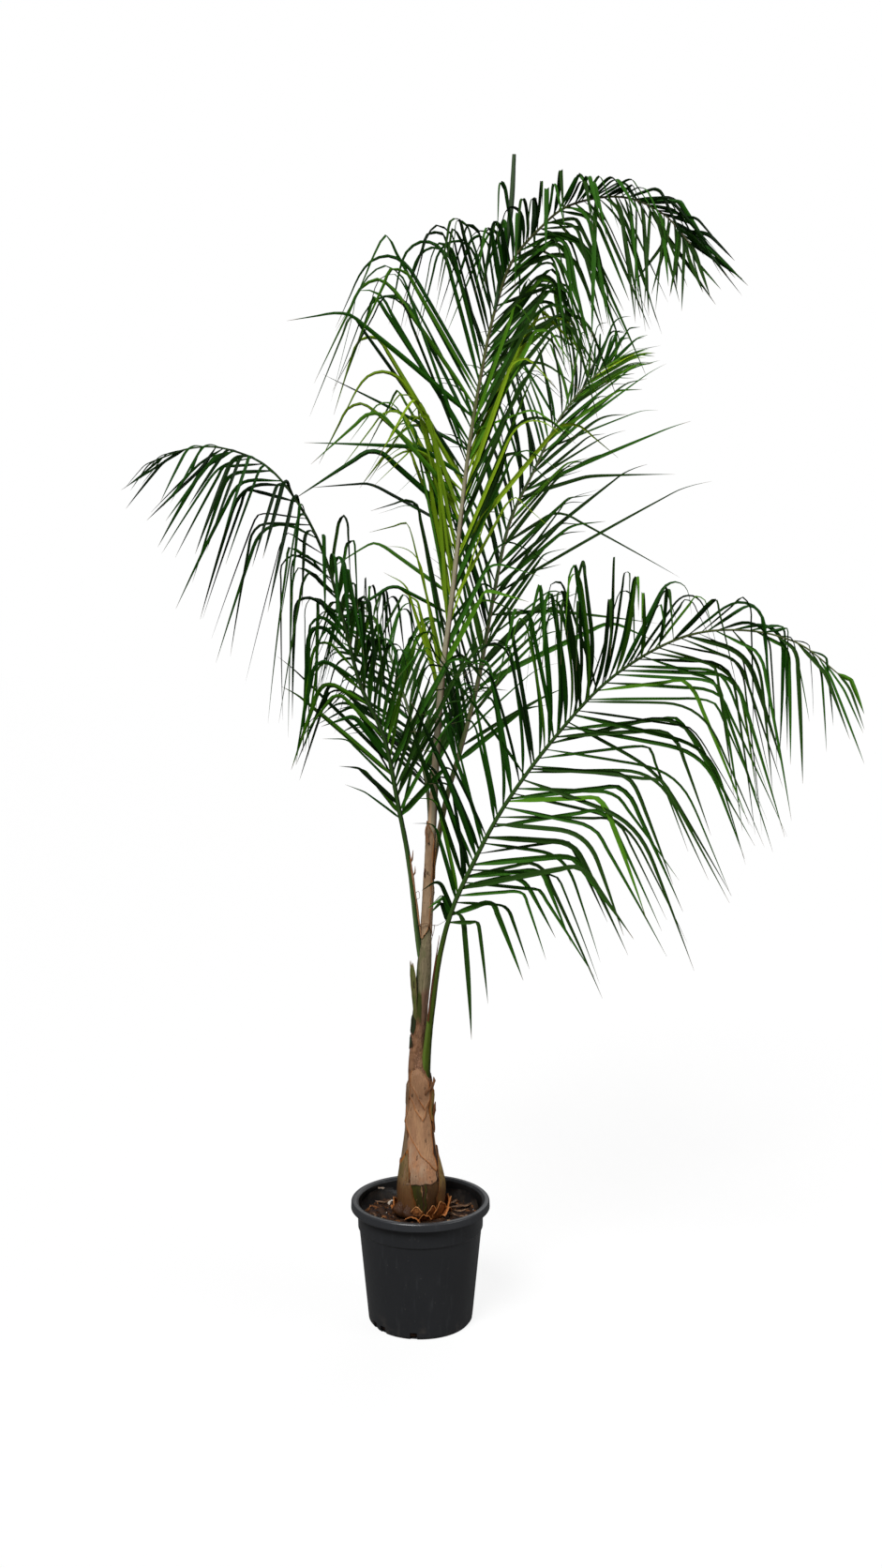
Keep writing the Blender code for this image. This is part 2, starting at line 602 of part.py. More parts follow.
def read_key(keys, share):
    shares = [k.share for k in keys]
    return Key(share, *(keyed(shares, [k[c] for k in keys], share) for c in range(1, len(Key._fields))))


def eased(x):
    x = min(1.0, max(0.0, x))
    return x * x * (3 - 2 * x)


Leaflet = namedtuple("Leaflet", "share side line wide up length reach width extra")


def grow_leaflet(rib, share, side, rule, soft, twist, width, extra):
    """The middle line of a leaflet, with its width and face directions at each point."""
    along = rib.along(share)
    across = along.cross(Vector((0, -1, 0))).normalized()
    front = across.cross(along).normalized()
    if front.y > 0:
        front = -front
    roll, splay, droop = (math.radians(v) for v in (rule.roll, rule.splay, rule.droop))
    out = side * across * math.cos(roll) + front * math.sin(roll)
    aim = along * math.cos(splay) + out * math.sin(splay)
    face = along.cross(out).normalized()
    wide = face.cross(aim).normalized()
    rise = math.atan2(aim.z, math.hypot(aim.x, aim.y))
    heading = math.atan2(aim.y, aim.x)
    final = math.atan2(aim.y + 0.35 * out.y, aim.x + 0.35 * out.x)
    swing = (final - heading + math.pi) % (2 * math.pi) - math.pi
    length = rule.reach + rule.fall
    stride = length / LEAF_STEPS
    sag = math.radians(6)
    line, wides, ups = [rib.at(share)], [], []
    for k in range(LEAF_STEPS):
        gone = (k + 0.5) * stride
        bent = eased((gone - rule.reach) / (soft * length) + 0.5)
        slope = rise + (droop - rise) * bent - sag * (gone / length) * math.cos(rise)
        turn = heading + swing * min(1.0, gone / (0.5 * rule.reach + 0.01))
        step = Vector((math.cos(slope) * math.cos(turn), math.cos(slope) * math.sin(turn), math.sin(slope)))
        wide = (wide - step * wide.dot(step)).normalized()
        angle = twist[0] + twist[1] * gone / length
        turned_wide = Quaternion(step, angle) @ wide
        wides.append(turned_wide)
        ups.append(step.cross(turned_wide).normalized())
        line.append(line[-1] + step * stride)
    wides.append(wides[-1])
    ups.append(ups[-1])
    return Leaflet(share, side, line, wides, ups, length, rule.reach, width, extra)


def leaflets(rib):
    """All leaflets of a frond, left row, right row and then the single ones."""
    frond = rib.frond
    dice = random.Random(frond.seed)
    made = []
    for side, keys in ((-1, frond.left), (1, frond.right)):
        share = frond.leafy
        while share < 1.0:
            rule = read_key(keys, share)
            wild = dice.uniform(5, 25) if dice.random() < 0.12 else 0.0
            rule = rule._replace(
                splay=rule.splay * dice.uniform(0.75, 1.2) + dice.uniform(-4, 4) + wild,
                reach=rule.reach * dice.uniform(0.82, 1.12),
                fall=rule.fall * dice.uniform(0.75, 1.15),
                droop=max(-88, rule.droop + dice.uniform(-9, 9)),
                roll=rule.roll + dice.uniform(-1, 1) * frond.spread,
            )
            soft = dice.choice((0.12, 0.2, 0.3, 0.45))
            twist = (dice.uniform(-0.7, 0.7), dice.uniform(-0.9, 0.9))
            width = dice.uniform(0.85, 1.15)
            made.append(grow_leaflet(rib, share, side, rule, soft, twist, width, False))
            share += rule.gap * 0.001 / rib.length * dice.uniform(0.35, 1.65)
    for e in frond.extra:
        rule = Key(e.share, e.splay, e.reach, e.fall, e.droop, e.roll, 0)
        twist = (dice.uniform(-0.7, 0.7), dice.uniform(-0.9, 0.9))
        made.append(grow_leaflet(rib, e.share, e.side, rule, 0.15, twist, 1.1, True))
    return made


def blade_rings(leaf, swell=0.0, first=0):
    """Three-sided rings at the root, before and after the fold, and a pointed tip."""
    steps = len(leaf.line) - 1
    start = (leaf.line[1] - leaf.line[0]).normalized()
    end = (leaf.line[-1] - leaf.line[-2]).normalized()
    fold = leaf.reach / leaf.length * steps
    if start.angle(end) < SHARP_TURN:
        stations = (first, round(steps * 0.45), steps)
    else:
        before = max(2, min(steps - 3, round(fold - 0.8)))
        stations = (first, before, before + 2, steps)
    thickness = max(0.0022, leaf.length * LEAF_THICKNESS_SHARE) + swell
    width = LEAF_WIDTH * leaf.width + swell
    rings = []
    for station in stations[:-1]:
        share = station / steps
        taper = 0.30 if station == 0 else 1 - 0.55 * share**2
        half = leaf.wide[station] * width * taper / 2
        up = leaf.up[station] * thickness * (0.8 if station == 0 else 1)
        middle = leaf.line[station]
        rings.append([middle - half - up * 0.4, middle + half - up * 0.4, middle + up * 0.6])
    rings.append([leaf.line[-1]])
    return rings


def rib_rings(rib, start, end, swell=0.0):
    """Rings square to the rib from one share to another."""
    count = max(5, round((end - start) * rib.length / RIB_STRIDE))
    rings = []
    side = None
    for i in range(count + 1):
        share = start + (end - start) * i / count
        along = rib.along(share)
        if side is None:
            side = along.cross(Vector((0, -1, 0))).normalized()
        side = (side - along * side.dot(along)).normalized()
        up = along.cross(side)
        radius = rib.radius(share) + swell
        middle = rib.at(share)
        turns = (2 * math.pi * k / RIB_SIDES for k in range(RIB_SIDES))
        rings.append([middle + radius * (side * math.cos(t) + up * math.sin(t)) for t in turns])
    return rings


def tree_of(made):
    mesh = made.data
    return BVHTree.FromPolygons([v.co for v in mesh.vertices], [p.vertices[:] for p in mesh.polygons])


def tree_of_rings(rings):
    points = [p for ring in rings for p in ring]
    faces, start = [], 0
    for ring, after in zip(rings, rings[1:]):
        base = start + len(ring)
        for i in range(3):
            j = (i + 1) % 3
            faces.append((start + i, start + j, base + (j if len(after) > 1 else 0)))
            if len(after) > 1:
                faces.append((start + i, base + j, base + i))
        start = base
    return BVHTree.FromPolygons(points, faces)


def frond_spans(rib):
    """Names and share ranges of a frond's nodes, split at its bend."""
    frond = rib.frond
    gap = CLEAR / rib.length
    leafy = frond.leafy - 0.012
    spans = [(f"{frond.name}_petiole", 0.0, leafy - gap)]
    if frond.split:
        spans.append((f"{frond.name}_frond", leafy, frond.split - gap))
        spans.append((f"{frond.name}_frond_tip", frond.split, 1.0))
    else:
        spans.append((f"{frond.name}_frond", leafy, 1.0))
    return spans


def fuse(core, blades):
    """One union of a rib with its leaflets."""
    group = bpy.data.collections.new(core.name + "_blades")
    bpy.context.scene.collection.children.link(group)
    for blade in blades:
        bpy.context.scene.collection.objects.unlink(blade)
        group.objects.link(blade)
    boolean(core, "UNION", group=group, solver="MANIFOLD")
    for blade in blades:
        remove(blade)
    bpy.data.collections.remove(group)
    keep_main_body(core)


def make_fronds(finishes, obstacles, stem_cutter):
    """All ribs first, then each frond's leaflets, which keep clear of the other nodes."""
    ribs = {frond.name: Rib(frond) for frond in FRONDS}
    cores = {}
    for name, rib in ribs.items():
        for node, start, end in frond_spans(rib):
            finish = finishes["petiole" if "petiole" in node else name]
            cores[node] = lofted(node, rib_rings(rib, start, end), finish)
    cutters = []
    for name, rib in ribs.items():
        node, start, end = frond_spans(rib)[0]
        for cutter in (stem_cutter, *cutters):
            boolean(cores[node], "DIFFERENCE", other=cutter)
        keep_main_body(cores[node])
        cutters.append(lofted("petiole_cutter", rib_rings(rib, start, end, swell=CLEAR)))
        cutters[-1].hide_render = True
        cutters[-1].display_type = "WIRE"
    for cutter in cutters:
        remove(cutter)
    solid = dict(obstacles)
    solid.update({node: tree_of(core) for node, core in cores.items()})
    for name, rib in ribs.items():
        rows = leaflets(rib)
        rows = [leaf for leaf in rows if leaf.extra] + [leaf for leaf in rows if not leaf.extra]
        for node, start, end in frond_spans(rib)[1:]:
            others = [tree for other, tree in solid.items() if other != node]
            blades, trees = [], []
            for leaf in rows:
                room = rib.radius(leaf.share) / rib.length
                if not start + room <= leaf.share <= end - (0 if end == 1.0 else room):
                    continue
                tree = tree_of_rings(blade_rings(leaf, swell=0.0012))
                clear_part = tree_of_rings(blade_rings(leaf, swell=0.0012, first=1))
                if any(tree.overlap(other) for other in others):
                    continue
                if any(clear_part.overlap(other) for other in trees):
                    continue
                blades.append(lofted(f"{node}_blade", blade_rings(leaf)))
                trees.append(clear_part)
            fuse(cores[node], blades)
            solid[node] = tree_of(cores[node])


def clear_scene():
    for made in list(bpy.data.objects):
        bpy.data.objects.remove(made)


def main():
    clear_scene()
    plastic = material("black_plastic", (0.028, 0.030, 0.033), 0.45)
    mix = material("potting_mix", (0.050, 0.030, 0.020), 0.95)
    bark = material("stem_fibre", (0.36, 0.24, 0.16), 0.80)
    husk = material("dry_husk", (0.26, 0.13, 0.06), 0.85)
    finishes = {
        "petiole": material("petiole", (0.20, 0.24, 0.10), 0.55),
        "centre": material("leaflet_mid", (0.07, 0.16, 0.02), 0.45),
        "left": material("leaflet_deep", (0.02, 0.09, 0.02), 0.45),
        "right": material("leaflet_green", (0.03, 0.11, 0.03), 0.45),
        "back": material("leaflet_dark", (0.015, 0.07, 0.02), 0.45),
        "rear": material("leaflet_shade", (0.02, 0.08, 0.02), 0.45),
    }
    solids = [make_pot(plastic), make_potting_mix(mix), make_stem("trunk", 0.0, bark)]
    solids += [make_sheath(sheath, bark) for sheath in SHEATHS]
    solids += [make_husk(i, husk) for i in range(len(HUSK_HEIGHTS))]
    stem_cutter = make_stem("stem_cutter", CLEAR)
    stem_cutter.hide_render = True
    stem_cutter.display_type = "WIRE"
    solids.append(make_stub(finishes["petiole"], stem_cutter))
    make_fronds(finishes, {made.name: tree_of(made) for made in solids}, stem_cutter)
    remove(stem_cutter)


main()
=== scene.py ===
"""Potted queen palm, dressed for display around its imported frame.

A black nursery pot with bark filling, a swollen stem wrapped in old leaf bases, and five
feather fronds whose leaflets follow keyed rules. Metres, +Z up, the front faces -Y.
"""

import math
import random
from collections import namedtuple

import bmesh
import bpy
from bpy.props import FloatProperty, FloatVectorProperty, IntProperty, PointerProperty
from mathutils import Matrix, Quaternion, Vector, noise


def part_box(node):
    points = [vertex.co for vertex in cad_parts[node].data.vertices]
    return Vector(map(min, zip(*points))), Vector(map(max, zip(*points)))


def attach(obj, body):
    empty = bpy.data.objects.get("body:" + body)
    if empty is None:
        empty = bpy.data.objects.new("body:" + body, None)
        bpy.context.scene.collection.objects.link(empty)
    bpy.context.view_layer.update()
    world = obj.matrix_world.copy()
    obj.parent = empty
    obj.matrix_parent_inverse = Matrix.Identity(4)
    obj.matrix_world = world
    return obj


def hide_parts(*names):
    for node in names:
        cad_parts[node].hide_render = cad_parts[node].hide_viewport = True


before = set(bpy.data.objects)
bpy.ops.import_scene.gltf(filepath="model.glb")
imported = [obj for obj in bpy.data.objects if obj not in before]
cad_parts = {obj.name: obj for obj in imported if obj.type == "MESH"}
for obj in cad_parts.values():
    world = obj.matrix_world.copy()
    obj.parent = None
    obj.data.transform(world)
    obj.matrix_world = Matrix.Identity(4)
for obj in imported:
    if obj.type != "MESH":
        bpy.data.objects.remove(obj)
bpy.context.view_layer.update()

bl_info = {
    "name": "Potted Queen Palm",
    "version": (1, 0, 0),
    "blender": (4, 5, 0),
    "location": "View3D > Sidebar > Palm",
    "description": "Builds a potted queen palm around its packed frame",
    "category": "Object",
}

BODY = "root"

# ---- pot and filling ----------------------------------------------------------------------
POT_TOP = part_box("pot")[1].z
SOIL_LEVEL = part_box("potting_mix")[1].z
POT_STEP_HEIGHT = 0.188
POT_COLLAR_RADIUS = 0.1222
NOTCH_ANGLES = (-149, -135, -97, -5, 9, 45, 93, 139)
NOTCH_SIZE = (0.0135, 0.015)
POT_SEGMENTS = 144
UNDER_STEP_RADIUS = 0.1192
# lowest height of the filling, just above the pot's floor
BED_FOOT = 0.0034
# size of a bark chip before it is scaled
CHIP_SIZE = (0.0062, 0.0034, 0.0017)

# Bark chips: name, light and dark colour, density (chips to a square metre at the standard
# setting), spacing, smallest and largest scale, seed.
CHIP_DENSITY = 9000
CHIPS = (
    ("bark_chips", (0.085, 0.036, 0.015), (0.012, 0.006, 0.004), CHIP_DENSITY, 0.0026, 0.4, 1.15, 3),
    ("bark_pieces", (0.23, 0.09, 0.03), (0.04, 0.018, 0.009), 2200, 0.0055, 0.8, 1.9, 5),
    ("pale_chips", (0.5, 0.32, 0.17), (0.26, 0.15, 0.08), 480, 0.009, 0.4, 0.9, 8),
    ("pale_grit", (0.62, 0.6, 0.55), (0.4, 0.38, 0.34), 800, 0.006, 0.22, 0.5, 9),
)

# What is strewn on the bark. finish, middle x and y, heading (degrees), length, width, curl, and
# height above the bark.
SCRAPS = (
    ("scrap", 0.08, 0.03, 30, 0.054, 0.0085, 0.2, 0), ("scrap", 0.076, 0.004, -4, 0.036, 0.004, 0.3, 0),
    ("scrap", 0.072, -0.022, -22, 0.044, 0.0046, 0.4, 0), ("scrap", 0.066, 0.05, 58, 0.04, 0.0055, 0.3, 0),
    ("scrap", 0.088, -0.04, -30, 0.02, 0.0045, 2.4, 0), ("scrap", -0.07, 0.052, 166, 0.04, 0.006, 0.2, 0),
    ("scrap", -0.088, -0.02, 108, 0.026, 0.0048, 0.5, 0), ("scrap", 0.03, -0.085, 14, 0.03, 0.0045, 0.3, 0),
    ("scrap", -0.04, -0.078, 208, 0.026, 0.0045, 0.4, 0), ("scrap", 0.01, 0.09, 20, 0.038, 0.006, 0.2, 0),
    ("pale", -0.058, 0.03, 205, 0.026, 0.008, 1.1, 0.004),
    ("bark", -0.079, 0.077, 140, 0.015, 0.011, 0.3, 0.017), ("pale", 0.062, -0.05, 40, 0.01, 0.004, 0.5, 0),
)

# ---- stem ---------------------------------------------------------------------------------
# height, middle x, middle y, radius, from the soil to the parting of the ribs
STEM = (
    (0.2184, 0.001, 0.0, 0.0405), (0.245, 0.0015, 0.0, 0.044), (0.275, 0.0015, 0.0, 0.0442),
    (0.31, 0.0, 0.0, 0.0382), (0.341, -0.0019, 0.0, 0.0316), (0.38, -0.002, 0.0, 0.0268),
    (0.418, -0.0021, 0.0, 0.024), (0.455, -0.0012, 0.0, 0.0232), (0.478, -0.0015, 0.0, 0.0215),
    (0.505, -0.0055, 0.001, 0.0172), (0.55, -0.0055, 0.003, 0.0136), (0.608, -0.0005, 0.004, 0.014),
    (0.683, 0.0065, 0.003, 0.0138), (0.718, 0.0088, 0.002, 0.0128), (0.745, 0.0105, 0.001, 0.0112),
)

# middle of the ringed scar on the front of the stem
SCAR = (0.01, -0.026, 0.38)
# painted shadow: colour of the thin dark line along the edge of a leaf base
EDGE_SHADE = (0.05, 0.022, 0.01)
# how far in from its edge a sheet counts as margin
MARGIN_WIDTH = 0.011
# how much each further layer of leaf base stands off
LAYER_RISE = 0.00105
# how far the top of a sunk leaf base goes in, and over what height
SUNK_DEPTH, SUNK_HEIGHT = 0.005, 0.014
# where the swept middle rib takes over from the stem's body
BODY_TOP = 0.779

# A piece of old leaf base wrapped on the stem or a rib. columns: angle in degrees, where 0 is
# right, -90 the front and -180 left, with the lowest and highest point there. layer: how many
# others it lies on. lean: how far its top stands off. sunk: its top goes under the next one.
Lap = namedtuple("Lap", "finish layer lean sunk columns")
LAPS = [Lap(*row) for row in (
    ("green", 0, 0, True, (
        (-124, 0.226, 0.3), (-106, 0.226, 0.304), (-92, 0.226, 0.304), (-82, 0.23, 0.3),
        (-76, 0.238, 0.296))),
    ("brown", 0.2, 0, True, (
        (-86, 0.23, 0.298), (-74, 0.226, 0.302), (-58, 0.226, 0.302), (-42, 0.226, 0.3))),
    ("pale", 1, 0, True, (
        (-136, 0.28, 0.4), (-118, 0.284, 0.41), (-104, 0.286, 0.41), (-92, 0.284, 0.41), (-80, 0.287, 0.41),
        (-66, 0.285, 0.41), (-52, 0.288, 0.41), (-42, 0.294, 0.4), (-37, 0.308, 0.39))),
    # The dark lap below is a painted shadow: a dark sheet in the gap at the right side of the pale front
    # plate.
    ("dark", 1, 0, True, ((-44, 0.29, 0.4), (-37, 0.29, 0.416), (-30, 0.294, 0.424), (-22, 0.306, 0.42))),
    ("tan", 0.6, 0, True, ((-28, 0.29, 0.43), (-8, 0.29, 0.44), (18, 0.29, 0.44), (44, 0.29, 0.43))),
    ("olive", 2, 0, False, (
        (-262, 0.226, 0.262), (-245, 0.226, 0.3), (-222, 0.226, 0.328), (-196, 0.226, 0.322),
        (-176, 0.226, 0.318), (-152, 0.226, 0.328), (-138, 0.226, 0.346), (-130, 0.226, 0.35),
        (-124, 0.226, 0.318), (-116, 0.226, 0.29), (-110, 0.226, 0.264), (-102, 0.226, 0.248),
        (-92, 0.226, 0.238), (-84, 0.227, 0.231))),
    ("drab", 1, 0, False, (
        (-232, 0.29, 0.352), (-206, 0.29, 0.384), (-182, 0.29, 0.396), (-156, 0.29, 0.394),
        (-140, 0.29, 0.374), (-128, 0.29, 0.35))),
    ("moss", 2, 0.0012, False, (
        (-51, 0.23, 0.246), (-46, 0.226, 0.268), (-40, 0.226, 0.296), (-33, 0.226, 0.316),
        (-22, 0.226, 0.33), (-5, 0.226, 0.34), (20, 0.226, 0.346), (45, 0.226, 0.334), (62, 0.226, 0.3),
        (76, 0.228, 0.25))),
    ("tan", 2, 0, True, (
        (-162, 0.4, 0.44), (-149, 0.391, 0.45), (-132, 0.379, 0.455), (-115, 0.3665, 0.46),
        (-101, 0.354, 0.46), (-88, 0.3436, 0.46), (-70, 0.329, 0.455), (-54, 0.316, 0.45),
        (-42, 0.306, 0.44), (-36, 0.314, 0.43))),
    ("drab", 2, 0, True, (
        (-226, 0.41, 0.468), (-200, 0.396, 0.482), (-172, 0.396, 0.484), (-152, 0.41, 0.478),
        (-138, 0.43, 0.47))),
    ("tan", 3, 0, True, (
        (-135, 0.453, 0.488), (-127, 0.445, 0.494), (-112, 0.434, 0.5), (-100, 0.424, 0.5),
        (-88, 0.414, 0.5), (-77, 0.405, 0.5), (-66, 0.414, 0.494), (-57, 0.424, 0.488), (-48, 0.438, 0.48))),
    ("tan", 4, 0, True, (
        (-132, 0.481, 0.5), (-114, 0.466, 0.505), (-96, 0.45, 0.508), (-80, 0.436, 0.508),
        (-68, 0.426, 0.504), (-57, 0.437, 0.498), (-44, 0.45, 0.49))),
    ("moss", 3, 0.001, False, (
        (-47, 0.42, 0.452), (-38, 0.405, 0.462), (-26, 0.398, 0.466), (-10, 0.4, 0.462), (6, 0.414, 0.448))),
    ("rust", 3, 0.0042, False, (
        (-26, 0.386, 0.424), (-18, 0.377, 0.438), (-10, 0.383, 0.432), (-4, 0.396, 0.42))),
    ("pale", 0, 0, True, ((48, 0.24, 0.4), (90, 0.24, 0.41), (130, 0.24, 0.4))),
    ("tan", 1, 0, True, (
        (34, 0.352, 0.43), (60, 0.33, 0.44), (96, 0.303, 0.445), (130, 0.335, 0.44), (158, 0.362, 0.43))),
    ("tan", 2, 0, True, ((2, 0.398, 0.47), (34, 0.372, 0.48), (62, 0.392, 0.484), (92, 0.414, 0.48))),
    ("tan", 3, 0, True, (
        (66, 0.424, 0.488), (92, 0.402, 0.492), (116, 0.386, 0.492), (140, 0.41, 0.49), (166, 0.432, 0.48))),
    ("scrap", 0.4, 0.0004, False, (
        (-186, 0.58, 0.59), (-166, 0.572, 0.606), (-148, 0.576, 0.61), (-132, 0.57, 0.604),
        (-114, 0.584, 0.596))),
    ("scrap", 0.4, 0.0004, False, (
        (-180, 0.548, 0.558), (-164, 0.54, 0.568), (-146, 0.546, 0.564), (-128, 0.546, 0.552))),
    ("tan", 2, 0.006, False, (
        (-66, 0.446, 0.462), (-50, 0.446, 0.47), (-36, 0.446, 0.482), (-26, 0.446, 0.472),
        (-12, 0.446, 0.488), (2, 0.448, 0.476), (24, 0.452, 0.47))),
    ("drab", 1, 0.003, False, (
        (14, 0.462, 0.49), (40, 0.46, 0.508), (62, 0.46, 0.498), (86, 0.462, 0.512), (112, 0.466, 0.49))),
    ("straw", 0.7, 0.0008, False, (
        (-220, 0.792, 0.89), (-196, 0.778, 0.948), (-164, 0.766, 0.984), (-128, 0.758, 0.98),
        (-104, 0.766, 0.968), (-78, 0.776, 0.96), (-60, 0.79, 0.946))),
    ("straw", 0.2, 0.0004, False, (
        (-74, 0.79, 0.88), (-44, 0.774, 0.868), (-10, 0.762, 0.85), (30, 0.768, 0.836), (60, 0.78, 0.82))),
    ("straw", 0.4, 0.0006, False, (
        (40, 0.79, 0.86), (80, 0.764, 0.912), (120, 0.758, 0.926), (160, 0.78, 0.88))),
    ("amber", 0.4, 0.0012, False, (
        (-40, 0.884, 0.926), (-24, 0.872, 0.934), (-8, 0.872, 0.93), (8, 0.88, 0.916))),
)]

# A torn strip that hangs by one end. halves: its half width at even steps along the guides.
# face: where its outside looks. cup: how far it is rolled. ragged: depth of the tears at its end.
Strip = namedtuple("Strip", "finish guides halves face cup ragged")
STRIPS = [Strip(*row) for row in (
    ("stub", ((-0.0085, -0.0055, 0.586), (-0.0112, -0.011, 0.64), (-0.0132, -0.013, 0.68),
        (-0.0165, -0.013, 0.712)),
        (0.0026, 0.0042, 0.0056, 0.006, 0.0036), (-0.35, -1, 0.1), 0.5, 0.012),
    ("tan", ((0.002, -0.009, 0.76), (-0.0045, -0.01, 0.815), (-0.0115, -0.013, 0.865),
        (-0.019, -0.016, 0.92)),
        (0.0008, 0.002, 0.0016, 0.0024, 0.001), (0.5, -1, 0), 0.6, 0.01),
    ("tan", ((-0.0175, -0.015, 0.905), (-0.0145, -0.018, 0.914), (-0.0132, -0.019, 0.927)),
        (0.0014, 0.0019, 0.0006), (0.2, -1, 0.2), 0.6, 0.006),
    ("tan", ((-0.013, -0.013, 0.88), (-0.0095, -0.017, 0.887), (-0.0088, -0.018, 0.897)),
        (0.0012, 0.0016, 0.0006), (0.2, -1, 0.2), 0.6, 0.005),
    ("rust", ((0.015, -0.021, 0.6), (0.0202, -0.025, 0.65), (0.0255, -0.027, 0.69),
        (0.0318, -0.03, 0.735), (0.0366, -0.032, 0.766)),
        (0.002, 0.0016, 0.0019, 0.0012, 0.0006), (-0.5, -1, 0), 0.5, 0.01),
    ("tan", ((0.016, -0.01, 0.944), (0.0118, -0.013, 0.96), (0.0126, -0.016, 0.974),
        (0.0166, -0.017, 0.979), (0.019, -0.015, 0.971)),
        (0.0026, 0.0022, 0.0017, 0.0012, 0.0007), (0, -1, 0.1), 0.5, 0.003),
    ("rust", ((0.0092, -0.006, 0.876), (0.008, -0.008, 0.884), (0.0092, -0.006, 0.893)),
        (0.0008, 0.0016, 0.0008), (-0.8, -1, 0), 0.7, 0.003),
)]

# Loose threads: the radius of each and then its guide points.
THREADS = (
    (0.0008, (-0.004, -0.011, 0.785), (0.012, -0.016, 0.789), (0.03, -0.016, 0.785),
     (0.044, -0.014, 0.791), (0.052, -0.012, 0.797)),
    (0.0007, (0.028, -0.013, 0.786), (0.026, -0.014, 0.772), (0.022, -0.013, 0.756),
     (0.021, -0.012, 0.742)),
    (0.0006, (-0.012, -0.006, 0.842), (-0.003, -0.01, 0.85), (-0.001, -0.012, 0.838),
     (-0.009, -0.012, 0.833), (-0.01, -0.01, 0.822), (-0.004, -0.01, 0.815)),
    (0.0007, (-0.02, -0.01, 0.915), (-0.016, -0.013, 0.905), (-0.018, -0.014, 0.89),
     (-0.012, -0.013, 0.88)),
)

# The torn husks round the foot. finish, middle angle and half width (degrees), foot, height, how
# far the top leans out, belly, and how ragged.
HUSKS = (
    ("bulb", -124, 17, 0.211, 0.04, -0.004, 0.015, 0.2),
    ("bulb", -151, 20, 0.211, 0.044, -0.006, 0.018, 0.14),
    # The flap row below is coloured pale orange as a painted highlight.
    ("flap", -99, 11, 0.222, 0.028, 0.008, 0.004, 0.2),
    ("husk", -107, 15, 0.211, 0.022, 0.014, 0.004, 0.35),
    ("husk", -82, 13, 0.211, 0.026, 0.013, 0.005, 0.35),
    ("husk", -66, 12, 0.214, 0.036, 0.008, 0.0045, 0.3), ("husk", -46, 17, 0.211, 0.046, 0.011, 0.008, 0.2),
    ("husk", -30, 12, 0.211, 0.034, 0.018, 0.006, 0.3), ("husk", -10, 17, 0.211, 0.044, 0.012, 0.008, 0.22),
    ("husk", 20, 17, 0.213, 0.034, 0.01, 0.007, 0.3), ("husk", 50, 16, 0.213, 0.028, 0.014, 0.005, 0.35),
    ("bulb", 80, 18, 0.213, 0.034, 0.006, 0.01, 0.15), ("husk", 108, 15, 0.213, 0.03, 0.014, 0.005, 0.35),
    ("husk", 136, 17, 0.213, 0.036, 0.009, 0.007, 0.3), ("husk", 166, 18, 0.213, 0.032, 0.009, 0.008, 0.3),
    ("husk", 192, 14, 0.213, 0.026, 0.014, 0.005, 0.35),
)

# ---- fronds -------------------------------------------------------------------------------
# One row of a leaflet rule: share of the frond's length, splay from the rib (degrees), reach
# to the fold and fall beyond it (metres), slope of the hanging part (degrees), roll about the
# rib (degrees, towards the front), and the gap to the next leaflet (millimetres).
Key = namedtuple("Key", "share splay reach fall droop roll gap")
# A single leaflet that stands apart from its row. Side -1 is left of the rib, 1 right of it.
Extra = namedtuple("Extra", "share side splay reach fall droop roll")
# guides: the rib's route. thick: share and radius. leafy: share where leaflets start.
Frond = namedtuple("Frond", "name nodes slot guides thick leafy spread seed left right extra")


def new_frond(name, nodes, slot, left, right, extra, **rest):
    """A frond whose two rows are read as keys, and its extra rows as single leaflets."""
    left, right = ([Key(*row) for row in rows] for rows in (left, right))
    return Frond(name, nodes, slot, left=left, right=right, extra=[Extra(*row) for row in extra], **rest)


